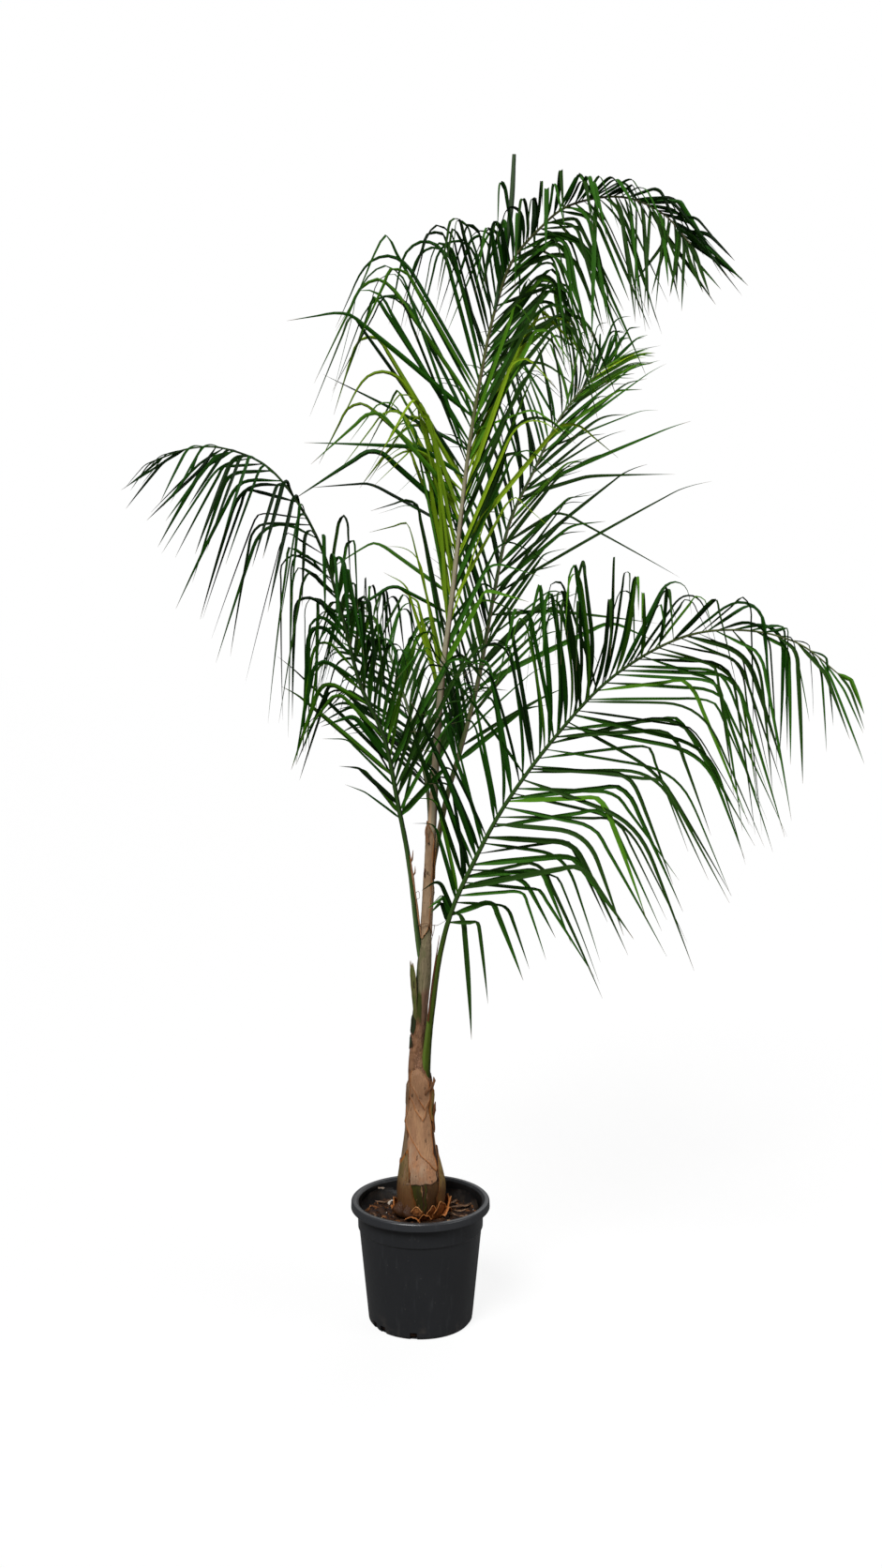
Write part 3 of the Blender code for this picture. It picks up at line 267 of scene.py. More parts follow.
CENTRE = new_frond(
    "centre", ("centre_frond", "centre_frond_tip"), "leaflet_mid",
    guides=(
        (0.0105, 0.001, 0.742), (0.0165, 0.003, 0.86), (0.023, 0.005, 0.975), (0.039, 0.015, 1.224),
        (0.062, 0.025, 1.417), (0.092, 0.035, 1.679), (0.121, 0.04, 1.851), (0.143, 0.035, 1.944),
        (0.17, 0.02, 2.017), (0.214, 0.0, 2.067), (0.271, -0.03, 2.106), (0.356, -0.08, 2.109),
        (0.426, -0.12, 2.072), (0.472, -0.16, 2.01),
    ),
    thick=((0, 0.0105), (0.1, 0.009), (0.3, 0.0058), (0.55, 0.0037), (0.72, 0.0027), (1, 0.0013)),
    leafy=0.275, spread=38, seed=3,
    left=(
        (0.27, 22, 0.2, 0.05, 30, 0, 19), (0.33, 17, 0.31, 0.08, -20, 0, 18),
        (0.4, 18, 0.33, 0.12, -50, 0, 20), (0.47, 32, 0.26, 0.15, -50, 0, 18),
        (0.54, 38, 0.36, 0.2, -64, 0, 16), (0.6, 38, 0.32, 0.2, -66, 0, 14),
        (0.65, 28, 0.25, 0.19, -70, 0, 13), (0.7, 28, 0.17, 0.19, -75, 0, 12),
        (0.75, 30, 0.09, 0.15, -72, 0, 12), (0.8, 40, 0.07, 0.12, -70, 0, 12),
        (0.86, 30, 0.07, 0.14, -55, 20, 10), (0.93, 22, 0.07, 0.13, -48, 30, 10),
        (1.0, 10, 0.06, 0.08, -40, 0, 10),
    ),
    right=(
        (0.27, 26, 0.14, 0.1, 0, 0, 24), (0.35, 20, 0.24, 0.1, -30, 0, 24),
        (0.45, 19, 0.31, 0.1, -40, 0, 23), (0.55, 20, 0.3, 0.13, -50, 0, 17),
        (0.62, 27, 0.24, 0.17, -65, 0, 14), (0.68, 32, 0.17, 0.2, -74, 0, 13),
        (0.75, 42, 0.11, 0.2, -72, 10, 12), (0.82, 50, 0.06, 0.2, -66, 10, 11),
        (0.9, 48, 0.05, 0.22, -62, 10, 9), (0.96, 30, 0.05, 0.13, -56, 10, 9),
        (1.0, 12, 0.05, 0.08, -45, 0, 9),
    ),
    extra=(
        (0.757, -1, 31, 0.14, 0.11, -86, 15), (0.585, -1, 60, 0.3, 0.11, -8, 10),
        (0.55, -1, 68, 0.29, 0.03, 30, -12), (0.52, -1, 65, 0.1, 0.22, 3, 15),
        (0.47, -1, 54, 0.21, 0.18, -30, 0), (0.46, -1, 66, 0.2, 0.12, 0, -15),
        (0.49, -1, 52, 0.24, 0.16, -38, 25), (0.39, -1, 60, 0.18, 0.14, -28, -10),
        (0.37, -1, 70, 0.12, 0.14, -30, 12), (0.42, 1, 15, 0.4, 0.06, -60, -5),
        (0.36, 1, 32, 0.1, 0.05, -30, -12), (0.57, 1, 62, 0.12, 0.1, -30, 10),
        (0.8, 1, 62, 0.1, 0.26, -62, 15), (0.79, -1, 28, 0.1, 0.05, -84, 10),
    ),
)

LEFT = new_frond(
    "left", ("left_frond", "left_frond_tip"), "leaflet_deep",
    guides=(
        (0.005, 0.0, 0.69), (-0.004, -0.002, 0.758), (-0.021, -0.01, 0.907), (-0.04, -0.025, 1.014),
        (-0.065, -0.05, 1.143), (-0.108, -0.08, 1.247), (-0.137, -0.11, 1.367), (-0.169, -0.14, 1.482),
        (-0.211, -0.17, 1.568), (-0.265, -0.19, 1.631), (-0.336, -0.215, 1.658), (-0.393, -0.23, 1.655),
        (-0.447, -0.245, 1.634),
    ),
    thick=((0, 0.006), (0.15, 0.005), (0.35, 0.0042), (0.6, 0.0032), (0.75, 0.0024), (1, 0.0012)),
    leafy=0.25, spread=34, seed=5,
    left=(
        (0.25, 36, 0.09, 0.04, 20, 0, 22), (0.31, 34, 0.15, 0.05, 10, 0, 22),
        (0.38, 26, 0.12, 0.12, -55, 0, 20), (0.48, 25, 0.08, 0.22, -84, 0, 18),
        (0.58, 32, 0.08, 0.28, -87, 0, 19), (0.68, 44, 0.09, 0.27, -78, 0, 20),
        (0.76, 54, 0.1, 0.26, -60, 0, 21), (0.84, 48, 0.07, 0.23, -60, 0, 21),
        (0.91, 38, 0.05, 0.15, -48, 0, 20), (1.0, 14, 0.05, 0.04, -34, 0, 16),
    ),
    right=(
        (0.25, 34, 0.22, 0.04, 40, 0, 15), (0.32, 32, 0.23, 0.08, 0, 0, 12),
        (0.38, 28, 0.2, 0.14, -65, 0, 13), (0.48, 26, 0.1, 0.13, -80, 0, 14),
        (0.58, 18, 0.08, 0.13, -82, 30, 19), (0.68, 18, 0.05, 0.17, -80, 80, 24),
        (0.76, 26, 0.05, 0.22, -62, 110, 25), (0.84, 26, 0.04, 0.2, -58, 115, 25),
        (0.91, 26, 0.04, 0.13, -48, 115, 25), (1.0, 12, 0.04, 0.05, -34, 100, 18),
    ),
    extra=(
        (0.34, -1, 32, 0.26, 0.03, 40, 0), (0.32, -1, 36, 0.24, 0.03, 30, 10),
        (0.64, 1, 14, 0.12, 0.12, -86, 0), (0.605, 1, 16, 0.12, 0.13, -86, 10),
        (0.285, 1, 34, 0.34, 0.03, 40, 0), (0.255, 1, 52, 0.13, 0.03, -60, 0),
        (0.34, 1, 42, 0.24, 0.1, -50, -15),
    ),
)

RIGHT = new_frond(
    "right", ("right_frond", "right_frond_tip"), "leaflet_green",
    guides=(
        (0.0066, 0.002, 0.448), (0.0142, -0.009, 0.55), (0.0232, -0.016, 0.629), (0.036, -0.024, 0.72),
        (0.058, -0.038, 0.811), (0.092, -0.05, 0.893), (0.157, -0.07, 1.02), (0.25, -0.1, 1.153),
        (0.345, -0.14, 1.26), (0.456, -0.19, 1.331), (0.555, -0.23, 1.347), (0.648, -0.265, 1.326),
        (0.722, -0.29, 1.268),
    ),
    thick=(
        (0, 0.0106), (0.03, 0.01), (0.05, 0.0088), (0.08, 0.0074), (0.12, 0.0066), (0.17, 0.0058),
        (0.25, 0.0047), (0.45, 0.0038), (0.7, 0.0026), (1, 0.0012),
    ),
    leafy=0.258, spread=28, seed=7,
    left=(
        (0.255, 40, 0.04, 0.04, -50, 0, 14), (0.275, 36, 0.05, 0.04, -30, 0, 14),
        (0.3, 32, 0.2, 0.05, 10, 0, 17), (0.35, 42, 0.25, 0.05, 10, 0, 19),
        (0.43, 42, 0.25, 0.06, -20, 0, 18), (0.51, 40, 0.3, 0.1, -60, 0, 14),
        (0.59, 36, 0.27, 0.16, -82, 0, 9.5), (0.65, 33, 0.23, 0.1, -84, 0, 9),
        (0.715, 26, 0.14, 0.06, -60, 0, 13), (0.785, 25, 0.12, 0.22, -84, 0, 22),
        (0.855, 20, 0.06, 0.22, -86, 0, 34), (0.91, 16, 0.03, 0.15, -82, 0, 40),
        (1.0, 10, 0.03, 0.06, -70, 0, 34),
    ),
    right=(
        (0.255, 85, 0.06, 0.17, -78, 0, 20), (0.3, 66, 0.12, 0.17, -62, 0, 16),
        (0.35, 78, 0.17, 0.2, -58, 0, 14), (0.41, 66, 0.2, 0.25, -60, 0, 14),
        (0.47, 60, 0.22, 0.26, -58, 0, 12.5), (0.54, 52, 0.24, 0.24, -58, 0, 13),
        (0.61, 49, 0.22, 0.25, -62, 0, 14), (0.685, 46, 0.18, 0.28, -71, 0, 15),
        (0.765, 42, 0.13, 0.28, -75, 0, 19), (0.845, 30, 0.07, 0.27, -80, 0, 26),
        (0.91, 20, 0.04, 0.23, -82, 0, 38), (1.0, 10, 0.03, 0.07, -66, 0, 32),
    ),
    extra=(
        (0.32, -1, 42, 0.36, 0.02, 70, 0), (0.37, -1, 47, 0.3, 0.02, 50, 10),
        (0.275, 1, 88, 0.02, 0.24, -84, 0), (0.93, 1, 20, 0.07, 0.12, -66, 0),
        (0.97, 1, 12, 0.06, 0.08, -62, 0), (0.31, 1, 50, 0.24, 0.16, -50, 20),
        (0.33, 1, 58, 0.14, 0.3, -62, -20),
    ),
)

BACK = new_frond(
    "back", ("back_frond",), "leaflet_dark",
    guides=(
        (0.012, 0.006, 0.715), (0.0175, 0.0195, 0.8), (0.023, 0.03, 0.882), (0.034, 0.045, 0.942),
        (0.054, 0.07, 1.032), (0.076, 0.09, 1.105), (0.113, 0.14, 1.243), (0.143, 0.19, 1.401),
        (0.177, 0.24, 1.553), (0.23, 0.29, 1.665), (0.288, 0.34, 1.779), (0.366, 0.4, 1.872),
        (0.412, 0.43, 1.908),
    ),
    thick=((0, 0.006), (0.15, 0.0055), (0.4, 0.0045), (0.7, 0.0032), (1, 0.0014)),
    leafy=0.285, spread=30, seed=11,
    left=(
        (0.28, 28, 0.22, 0.03, 40, 0, 18), (0.42, 26, 0.27, 0.04, 30, 0, 20),
        (0.54, 23, 0.3, 0.05, 10, 0, 20), (0.65, 26, 0.3, 0.06, 10, 0, 19),
        (0.76, 30, 0.26, 0.06, 0, 0, 17), (0.85, 30, 0.19, 0.05, 0, 0, 14),
        (0.94, 22, 0.12, 0.04, 10, 0, 11), (1.0, 12, 0.08, 0.03, 20, 0, 10),
    ),
    right=(
        (0.28, 34, 0.2, 0.04, 20, 0, 20), (0.42, 30, 0.22, 0.05, 10, 0, 21),
        (0.54, 27, 0.24, 0.06, 10, 0, 22), (0.65, 23, 0.2, 0.05, 10, 0, 22),
        (0.76, 20, 0.24, 0.05, 10, 0, 17), (0.85, 17, 0.19, 0.05, 10, 0, 14),
        (0.94, 14, 0.12, 0.04, 10, 0, 11), (1.0, 10, 0.08, 0.03, 20, 0, 10),
    ),
    extra=(
        (0.54, 1, 46, 0.45, 0.06, 15, 0), (0.62, 1, 42, 0.13, 0.29, -25, 0), (0.7, 1, 42, 0.15, 0.19, 5, 0),
        (0.71, 1, 34, 0.36, 0.04, 20, 0), (0.78, 1, 24, 0.3, 0.04, 30, 0), (0.51, 1, 74, 0.12, 0.22, -4, 0),
        (0.57, 1, 36, 0.36, 0.05, 20, -10), (0.4, 1, 48, 0.3, 0.1, -20, 0),
        (0.47, 1, 40, 0.18, 0.2, -60, 0),
    ),
)

REAR = new_frond(
    "rear", ("rear_frond",), "leaflet_shade",
    guides=(
        (0.01, 0.006, 0.715), (0.014, 0.0205, 0.827), (0.018, 0.045, 0.932), (0.013, 0.095, 1.036),
        (-0.018, 0.17, 1.159), (-0.056, 0.25, 1.268), (-0.094, 0.33, 1.353), (-0.131, 0.42, 1.392),
        (-0.162, 0.5, 1.382),
    ),
    thick=((0, 0.0044), (0.2, 0.004), (0.6, 0.003), (1, 0.0014)),
    leafy=0.36, spread=40, seed=13,
    left=(
        (0.36, 35, 0.18, 0.06, 0, 0, 18), (0.55, 34, 0.18, 0.12, -60, 0, 18),
        (0.73, 36, 0.14, 0.16, -72, 0, 18), (0.89, 34, 0.1, 0.14, -66, 0, 18),
        (1.0, 12, 0.05, 0.06, -50, 0, 14),
    ),
    right=(
        (0.36, 32, 0.2, 0.06, 0, 0, 18), (0.55, 30, 0.18, 0.1, -60, 0, 18),
        (0.73, 30, 0.12, 0.14, -74, 30, 18), (0.89, 30, 0.08, 0.12, -68, 40, 18),
        (1.0, 12, 0.05, 0.06, -50, 0, 14),
    ),
    extra=(),
)

FRONDS = (CENTRE, LEFT, RIGHT, BACK, REAR)
# guide points of the newest leaf, still folded, and its half width at even steps
SPEAR = ((0.14, 0.034, 1.935), (0.156, 0.03, 2.02), (0.169, 0.022, 2.12), (0.1735, 0.016, 2.208))
SPEAR_HALVES = (0.003, 0.0052, 0.0054, 0.005, 0.0046, 0.0036)
LEAF_STEPS = 14
RIB_STEPS = 170
# length of the pointed foot of a rib
RIB_POINT = 0.035
# metres along the rib for a millimetre of gap, share of leaflets that stray, and how much of the
# outward direction a leaflet's hanging end takes on
GAP_LENGTH = 0.00106
STRAY_SHARE = 0.12
OUTWARD = 0.35
# The last kind is a painted backlight: leaflets coloured as if lit through from behind.
KINDS = ("deep", "mid", "fresh", "lime")

# Share of each kind of leaflet along a frond: frond, side (0 for both), up to this share, and
# the weights of deep, mid, fresh and lime.
TONES = (
    ("centre", -1, 0.35, (1, 2, 4, 4)), ("centre", -1, 0.52, (0, 1, 3, 8)),
    ("centre", 1, 0.55, (2, 3, 4, 3)), ("centre", 0, 0.62, (3, 5, 3, 1)), ("centre", 0, 0.74, (5, 5, 1, 0)),
    ("centre", 0, 1.0, (7, 4, 0, 0)), ("left", 0, 0.55, (6, 4, 1, 0)), ("left", 0, 1.0, (6, 4, 0, 0)),
    ("right", 0, 1.0, (4, 5, 1, 0)), ("back", 0, 0.8, (6, 4, 1, 0)), ("back", 0, 0.92, (4, 4, 3, 0)),
    ("back", 0, 1.0, (1, 4, 4, 1)), ("rear", 0, 1.0, (6, 4, 0, 0)),
)
# the weights for the single leaflets of the middle frond
SINGLE_TONES = (2, 4, 4, 0)


# ---- stage --------------------------------------------------------------------------------
WHITE = (1.0, 1.0, 1.0, 1.0)
FLOOR_HALF = 30.0
# what the lamps point at: the middle of the plant
LIT_PLACE = (0.1, 0, 1.2)
# name, kind, place, power, and spread: the side of an area (metres), the angle of a sun (degrees)
LAMPS = (
    ("key_light", "SUN", (-1.1, -2.6, 4.6), 2.9, 24), ("fill_light", "AREA", (2.8, -1.4, 2.0), 38, 2.0),
    ("rim_light", "SUN", (1.0, 2.8, 3.6), 0.6, 50),
)
# lens and sensor (millimetres), then how far the camera stands to the right of the stem (metres)
# and how far below level it looks (degrees)
CAMERA_LENS, CAMERA_SENSOR = 36.6, 36.0
CAMERA_ASIDE, CAMERA_DOWN = 0.04, 6.24


# ---- settings -----------------------------------------------------------------------------
def length(name, description, default):
    return FloatProperty(name=name, description=description, default=default, unit="LENGTH", precision=4)


def factor(name, description, default):
    return FloatProperty(name=name, description=description, default=default, subtype="FACTOR", min=0.0)


def colour(name, description, default):
    return FloatVectorProperty(
        name=name, description=description, default=default, size=3, subtype="COLOR", min=0.0, max=1.0
    )


class PALM_PG_pot(bpy.types.PropertyGroup):
    lip_radius: length("Lip radius", "Outer radius of the rolled lip", 0.1352)
    base_radius: length("Base radius", "Outer radius at the foot", 0.1016)
    wall: length("Wall", "Thickness of the moulded wall", 0.0026)
    plastic: colour("Plastic", "Colour of the moulded plastic", (0.016, 0.017, 0.019))
    chips: IntProperty(
        name="Bark chips", description="Bark chips to a square metre", default=CHIP_DENSITY,
        subtype="UNSIGNED",
    )


class PALM_PG_stem(bpy.types.PropertyGroup):
    sheath: length("Sheath thickness", "Thickness of an old leaf base", 0.0012)
    relief: length("Relief", "Depth of the fibre relief on the stem", 0.0009)
    tan: colour("Dry sheath", "Colour of the dry leaf bases", (0.53, 0.29, 0.15))
    pale: colour("Bleached sheath", "Colour of the palest leaf base", (0.5, 0.32, 0.2))
    olive: colour("Green sheath", "Colour of the fresher leaf bases", (0.3, 0.185, 0.087))
    rust: colour("Torn edge", "Colour of torn margins and husks", (0.42, 0.135, 0.022))


class PALM_PG_leaf(bpy.types.PropertyGroup):
    width: length("Leaflet width", "Full width of a middling leaflet", 0.0092)
    thickness: factor("Thickness", "Thickness as a share of half width", 0.07)
    fold: factor("Fold", "Height of the roof fold as a share of half width", 0.5)
    deep: colour("Deep green", "Colour of the darkest leaflets", (0.001, 0.0115, 0.0005))
    mid: colour("Mid green", "Colour of most leaflets", (0.0055, 0.047, 0.0014))
    fresh: colour("Fresh green", "Colour of younger leaflets", (0.03, 0.115, 0.0035))
    # painted backlight: the green of leaflets coloured as if lit through from behind
    lime: colour("Lime green", "Colour of leaflets lit through", (0.11, 0.215, 0.006))


class PALM_PG_stage(bpy.types.PropertyGroup):
    floor: colour("Floor", "Colour of the floor", (0.13, 0.13, 0.13))
    lift: factor("Floor lift", "Light added to the floor where it is seen", 0.87)
    sky: factor("Sky", "Strength of the even light from all round", 0.09)
    eye_height: length("Camera height", "Height of the camera above the floor", 1.382)
    distance: length("Camera distance", "Distance in front of the stem", 3.0)


# ---- node helpers -------------------------------------------------------------------------
def wire(tree, node, inputs):
    """Links or sets a node's inputs."""
    for key, value in inputs.items():
        if isinstance(value, bpy.types.NodeSocket):
            tree.links.new(value, node.inputs[key])
        else:
            node.inputs[key].default_value = value
    return node


def put(tree, kind, inputs=None, **settings):
    """Adds a node, sets its properties, and links or sets its inputs."""
    made = tree.nodes.new(kind)
    for key, value in settings.items():
        setattr(made, key, value)
    return wire(tree, made, inputs or {})


def first_of(tree, kind, inputs=None, **settings):
    """The first output of a new node."""
    return put(tree, kind, inputs, **settings).outputs[0]


def maths(tree, operation, *values):
    return first_of(tree, "ShaderNodeMath", dict(enumerate(values)), operation=operation)


def times(tree, a, b):
    return maths(tree, "MULTIPLY", a, b)


def times_add(tree, a, b, c):
    return maths(tree, "MULTIPLY_ADD", a, b, c)


def vector_maths(tree, operation, *values):
    return first_of(tree, "ShaderNodeVectorMath", dict(enumerate(values)), operation=operation)


def squashed(tree, place, height):
    """A place with its height scaled, and with it the size of a pattern along it."""
    return vector_maths(tree, "MULTIPLY", place, (1.0, 1.0, height))


def length_of(tree, vector):
    return put(tree, "ShaderNodeVectorMath", {0: vector}, operation="LENGTH").outputs["Value"]


def lengthened(tree, vector, share):
    return first_of(tree, "ShaderNodeVectorMath", {0: vector, "Scale": share}, operation="SCALE")


def axis(tree, place, letter):
    return put(tree, "ShaderNodeSeparateXYZ", {0: place}).outputs[letter]


def smooth_step(tree, value, low, high):
    """0 below low, 1 above high, and eased between them."""
    inputs = {"Value": value, "From Min": low, "From Max": high}
    return first_of(tree, "ShaderNodeMapRange", inputs, interpolation_type="SMOOTHSTEP")


def mixed(tree, factor, first, second):
    """Mixes two colours. In a mix node the colour sockets are the seventh and eighth."""
    inputs = {0: factor}
    for index, value in ((6, first), (7, second)):
        inputs[index] = value if isinstance(value, bpy.types.NodeSocket) else (*value[:3], 1.0)
    return put(tree, "ShaderNodeMix", inputs, data_type="RGBA").outputs[2]


def laid(tree, base, mask, share, tint):
    """Lays a tint over a colour where the mask says, no more than the share."""
    return mixed(tree, times(tree, mask, share), base, tint)


def scaled(tint, share, lift=0.0):
    """A colour made lighter or darker."""
    return tuple(share * c + lift for c in tint)


def noise_value(tree, place, scale, detail=3.0, roughness=0.55):
    inputs = {"Vector": place, "Scale": scale, "Detail": detail, "Roughness": roughness}
    return put(tree, "ShaderNodeTexNoise", inputs).outputs["Fac"]


def spotted(tree, place, scale, detail, low, high):
    """Patches of noise between two levels."""
    return smooth_step(tree, noise_value(tree, place, scale, detail), low, high)


def new_group(name, kind, ins, outs):
    """A node group with named sockets. Returns the tree, its inputs and its outputs."""
    tree = bpy.data.node_groups.new(name, kind)
    for socket, socket_type, default in ins:
        made = tree.interface.new_socket(socket, in_out="INPUT", socket_type=socket_type)
        if default is not None:
            made.default_value = default
    for socket, socket_type in outs:
        tree.interface.new_socket(socket, in_out="OUTPUT", socket_type=socket_type)
    return tree, tree.nodes.new("NodeGroupInput").outputs, tree.nodes.new("NodeGroupOutput")


# ---- shader groups ------------------------------------------------------------------------
FLOAT, COLOUR, VECTOR = "NodeSocketFloat", "NodeSocketColor", "NodeSocketVector"


def fibre_group():
    """Streaks that run up the stem: a value from 0 to 1, finer for a larger Scale."""
    tree, ins, outs = new_group(
        "fibre_streaks", "ShaderNodeTree",
        (("Place", VECTOR, None), ("Scale", FLOAT, 300.0), ("Stretch", FLOAT, 0.06)),
        (("Streaks", FLOAT),),
    )
    squash = first_of(tree, "ShaderNodeCombineXYZ", {0: 1.0, 1: 1.0, 2: ins["Stretch"]})
    place = vector_maths(tree, "MULTIPLY", ins["Place"], squash)
    streaks = noise_value(tree, place, ins["Scale"], 4.0, 0.6)
    wire(tree, outs, {"Streaks": smooth_step(tree, streaks, 0.3, 0.7)})
    return tree


def mottle_group():
    """Two colours mixed in soft patches, with small dark spots."""
    tree, ins, outs = new_group(
        "mottle", "ShaderNodeTree",
        (("Place", VECTOR, None), ("Scale", FLOAT, 30.0), ("First", COLOUR, None),
         ("Second", COLOUR, None), ("Spots", FLOAT, 0.3)),
        (("Colour", COLOUR), ("Patches", FLOAT)),
    )
    patches = spotted(tree, ins["Place"], ins["Scale"], 5.0, 0.38, 0.62)
    base = mixed(tree, patches, ins["First"], ins["Second"])
    finer = times(tree, ins["Scale"], 4.3)
    spots = spotted(tree, ins["Place"], finer, 2.0, 0.62, 0.74)
    dark = laid(tree, base, spots, ins["Spots"], (0.03, 0.018, 0.01))
    wire(tree, outs, {"Colour": dark, "Patches": patches})
    return tree


def blade_group():
    """Colour, roughness and vein height of a leaflet from its own along, across and tone."""
    tree, ins, outs = new_group(
        "leaf_blade", "ShaderNodeTree",
        (("Place", VECTOR, None), ("Along", FLOAT, 0.0), ("Across", FLOAT, 0.0), ("Tone", FLOAT, 0.5),
         ("Green", COLOUR, None), ("Light", COLOUR, None), ("Gloss", FLOAT, 0.4)),
        (("Colour", COLOUR), ("Roughness", FLOAT), ("Veins", FLOAT)),
    )
    side = maths(tree, "ABSOLUTE", ins["Across"])
    patches = noise_value(tree, ins["Place"], 26.0)
    shade = times_add(tree, patches, 0.7, -0.15)
    lift = times_add(tree, ins["Tone"], 0.65, times(tree, shade, 0.6))
    base = laid(tree, ins["Green"], lift, 0.55, ins["Light"])
    base = laid(tree, base, smooth_step(tree, side, 0.16, 0.02), 0.35, ins["Light"])
    base = laid(tree, base, smooth_step(tree, ins["Along"], 0.1, 0.0), 0.45, ins["Light"])
    dry = smooth_step(tree, times_add(tree, patches, 0.08, ins["Along"]), 0.965, 1.03)
    base = mixed(tree, dry, base, (0.2, 0.15, 0.08))
    waves = maths(tree, "SINE", times(tree, ins["Across"], 30.0))
    veins = times_add(tree, waves, 0.5, patches)
    rough = times_add(tree, patches, 0.18, ins["Gloss"])
    wire(tree, outs, {"Colour": base, "Roughness": rough, "Veins": veins})
    return tree


GROUPS = {}


def use_group(tree, name, inputs):
    """Puts one of the shader groups to use. They are built once."""
    if not GROUPS:
        GROUPS.update(fibre=fibre_group(), mottle=mottle_group(), blade=blade_group())
    return put(tree, "ShaderNodeGroup", inputs, node_tree=GROUPS[name])


def fibre(tree, place, scale, stretch):
    return use_group(tree, "fibre", {"Place": place, "Scale": scale, "Stretch": stretch}).outputs[0]


def mottle(tree, place, scale, first, second, spots):
    return use_group(tree, "mottle", {
        "Place": place, "Scale": scale, "First": (*first, 1), "Second": (*second, 1), "Spots": spots,
    }).outputs


# ---- materials ----------------------------------------------------------------------------
def blank_material(name):
    """A material with a Principled shader. Returns the material, tree, shader and object place."""
    made = bpy.data.materials.new(name)
    made.use_nodes = True
    tree = made.node_tree
    place = tree.nodes.new("ShaderNodeTexCoord").outputs["Object"]
    return made, tree, tree.nodes["Principled BSDF"], place


def attribute(tree, name):
    return put(tree, "ShaderNodeAttribute", attribute_name=name).outputs["Fac"]


def coat(tree, shader, base, rough, shine):
    wire(tree, shader, {"Base Color": base, "Roughness": rough, "Specular IOR Level": shine})


def bump(tree, shader, height, distance, strength=1.0):
    made = first_of(tree, "ShaderNodeBump", {"Height": height, "Distance": distance, "Strength": strength})
    wire(tree, shader, {"Normal": made})


def plastic_material(tint):
    """Moulded plastic with scuffs, dust at the foot, its lip lightened as a painted highlight and its inside
    wall darkened as painted shade.
    """
    made, tree, shader, place = blank_material("moulded_plastic")
    height = axis(tree, place, "Z")
    clouds = noise_value(tree, place, 14.0, 4.0)
    scuffs = spotted(tree, squashed(tree, place, 0.12), 90.0, 5.0, 0.56, 0.74)
    low = smooth_step(tree, height, 0.05, 0.0)
    dust = times(tree, spotted(tree, place, 45.0, 5.0, 0.5, 0.68), low)
    specks = spotted(tree, place, 260.0, 1.0, 0.74, 0.8)
    base = laid(tree, tint, clouds, 0.35, scaled(tint, 1.9, 0.01))
    base = laid(tree, base, scuffs, 0.16, (0.11, 0.115, 0.12))
    base = laid(tree, base, dust, 0.45, (0.1, 0.085, 0.07))
    base = laid(tree, base, specks, 0.25, (0.3, 0.28, 0.25))
    reach = length_of(tree, squashed(tree, place, 0.0))
    # The outer band of the lip is lightened: a painted highlight.
    high = smooth_step(tree, height, POT_TOP - 0.022, POT_TOP - 0.016)
    lip = times(tree, high, smooth_step(tree, reach, 0.1245, 0.1285))
    base = laid(tree, base, lip, 0.5, scaled(tint, 2.4))
    # The inside of the wall above the step is darkened: painted shade in the pot's hollow.
    inside_shade = times(tree, smooth_step(tree, reach, 0.1216, 0.1202),
                  smooth_step(tree, height, POT_STEP_HEIGHT, POT_STEP_HEIGHT + 0.006))
    base = laid(tree, base, inside_shade, 0.75, (0.0045, 0.004, 0.0034))
    rough = times_add(tree, scuffs, 0.12, times_add(tree, clouds, 0.14, 0.27))
    wire(tree, shader, {"Base Color": base, "Roughness": rough})
    bump(tree, shader, noise_value(tree, place, 900.0, 2.0), 0.0002, 0.5)
    return made


def mottled_material(name, first, second, scale, spots, rough, grain, depth, shine=0.15):
    """Matt stuff in two colours with spots and a grain: bark, humus, paper-dry husk."""
    made, tree, shader, place = blank_material(name)
    patches = mottle(tree, place, scale, first, second, spots)
    coat(tree, shader, patches["Colour"], times_add(tree, patches["Patches"], 0.15, rough), shine)
    bump(tree, shader, noise_value(tree, place, grain, 5.0, 0.7), depth)
    return made


def scar_rings(tree, base, place):
    """Fine rings round the scar on the front of the stem, on its right half."""
    from_scar = squashed(tree, vector_maths(tree, "SUBTRACT", place, SCAR), 0.8)
    away = length_of(tree, from_scar)
    away = times_add(tree, noise_value(tree, place, 90.0), 0.009, away)
    rings = smooth_step(tree, maths(tree, "SINE", times(tree, away, 1900.0)), 0.2, 0.9)
    rings = times(tree, rings, smooth_step(tree, away, 0.0235, 0.019))
    rings = times(tree, rings, smooth_step(tree, axis(tree, from_scar, "X"), -0.006, 0.006))
    return laid(tree, base, rings, 0.34, (0.12, 0.06, 0.03))


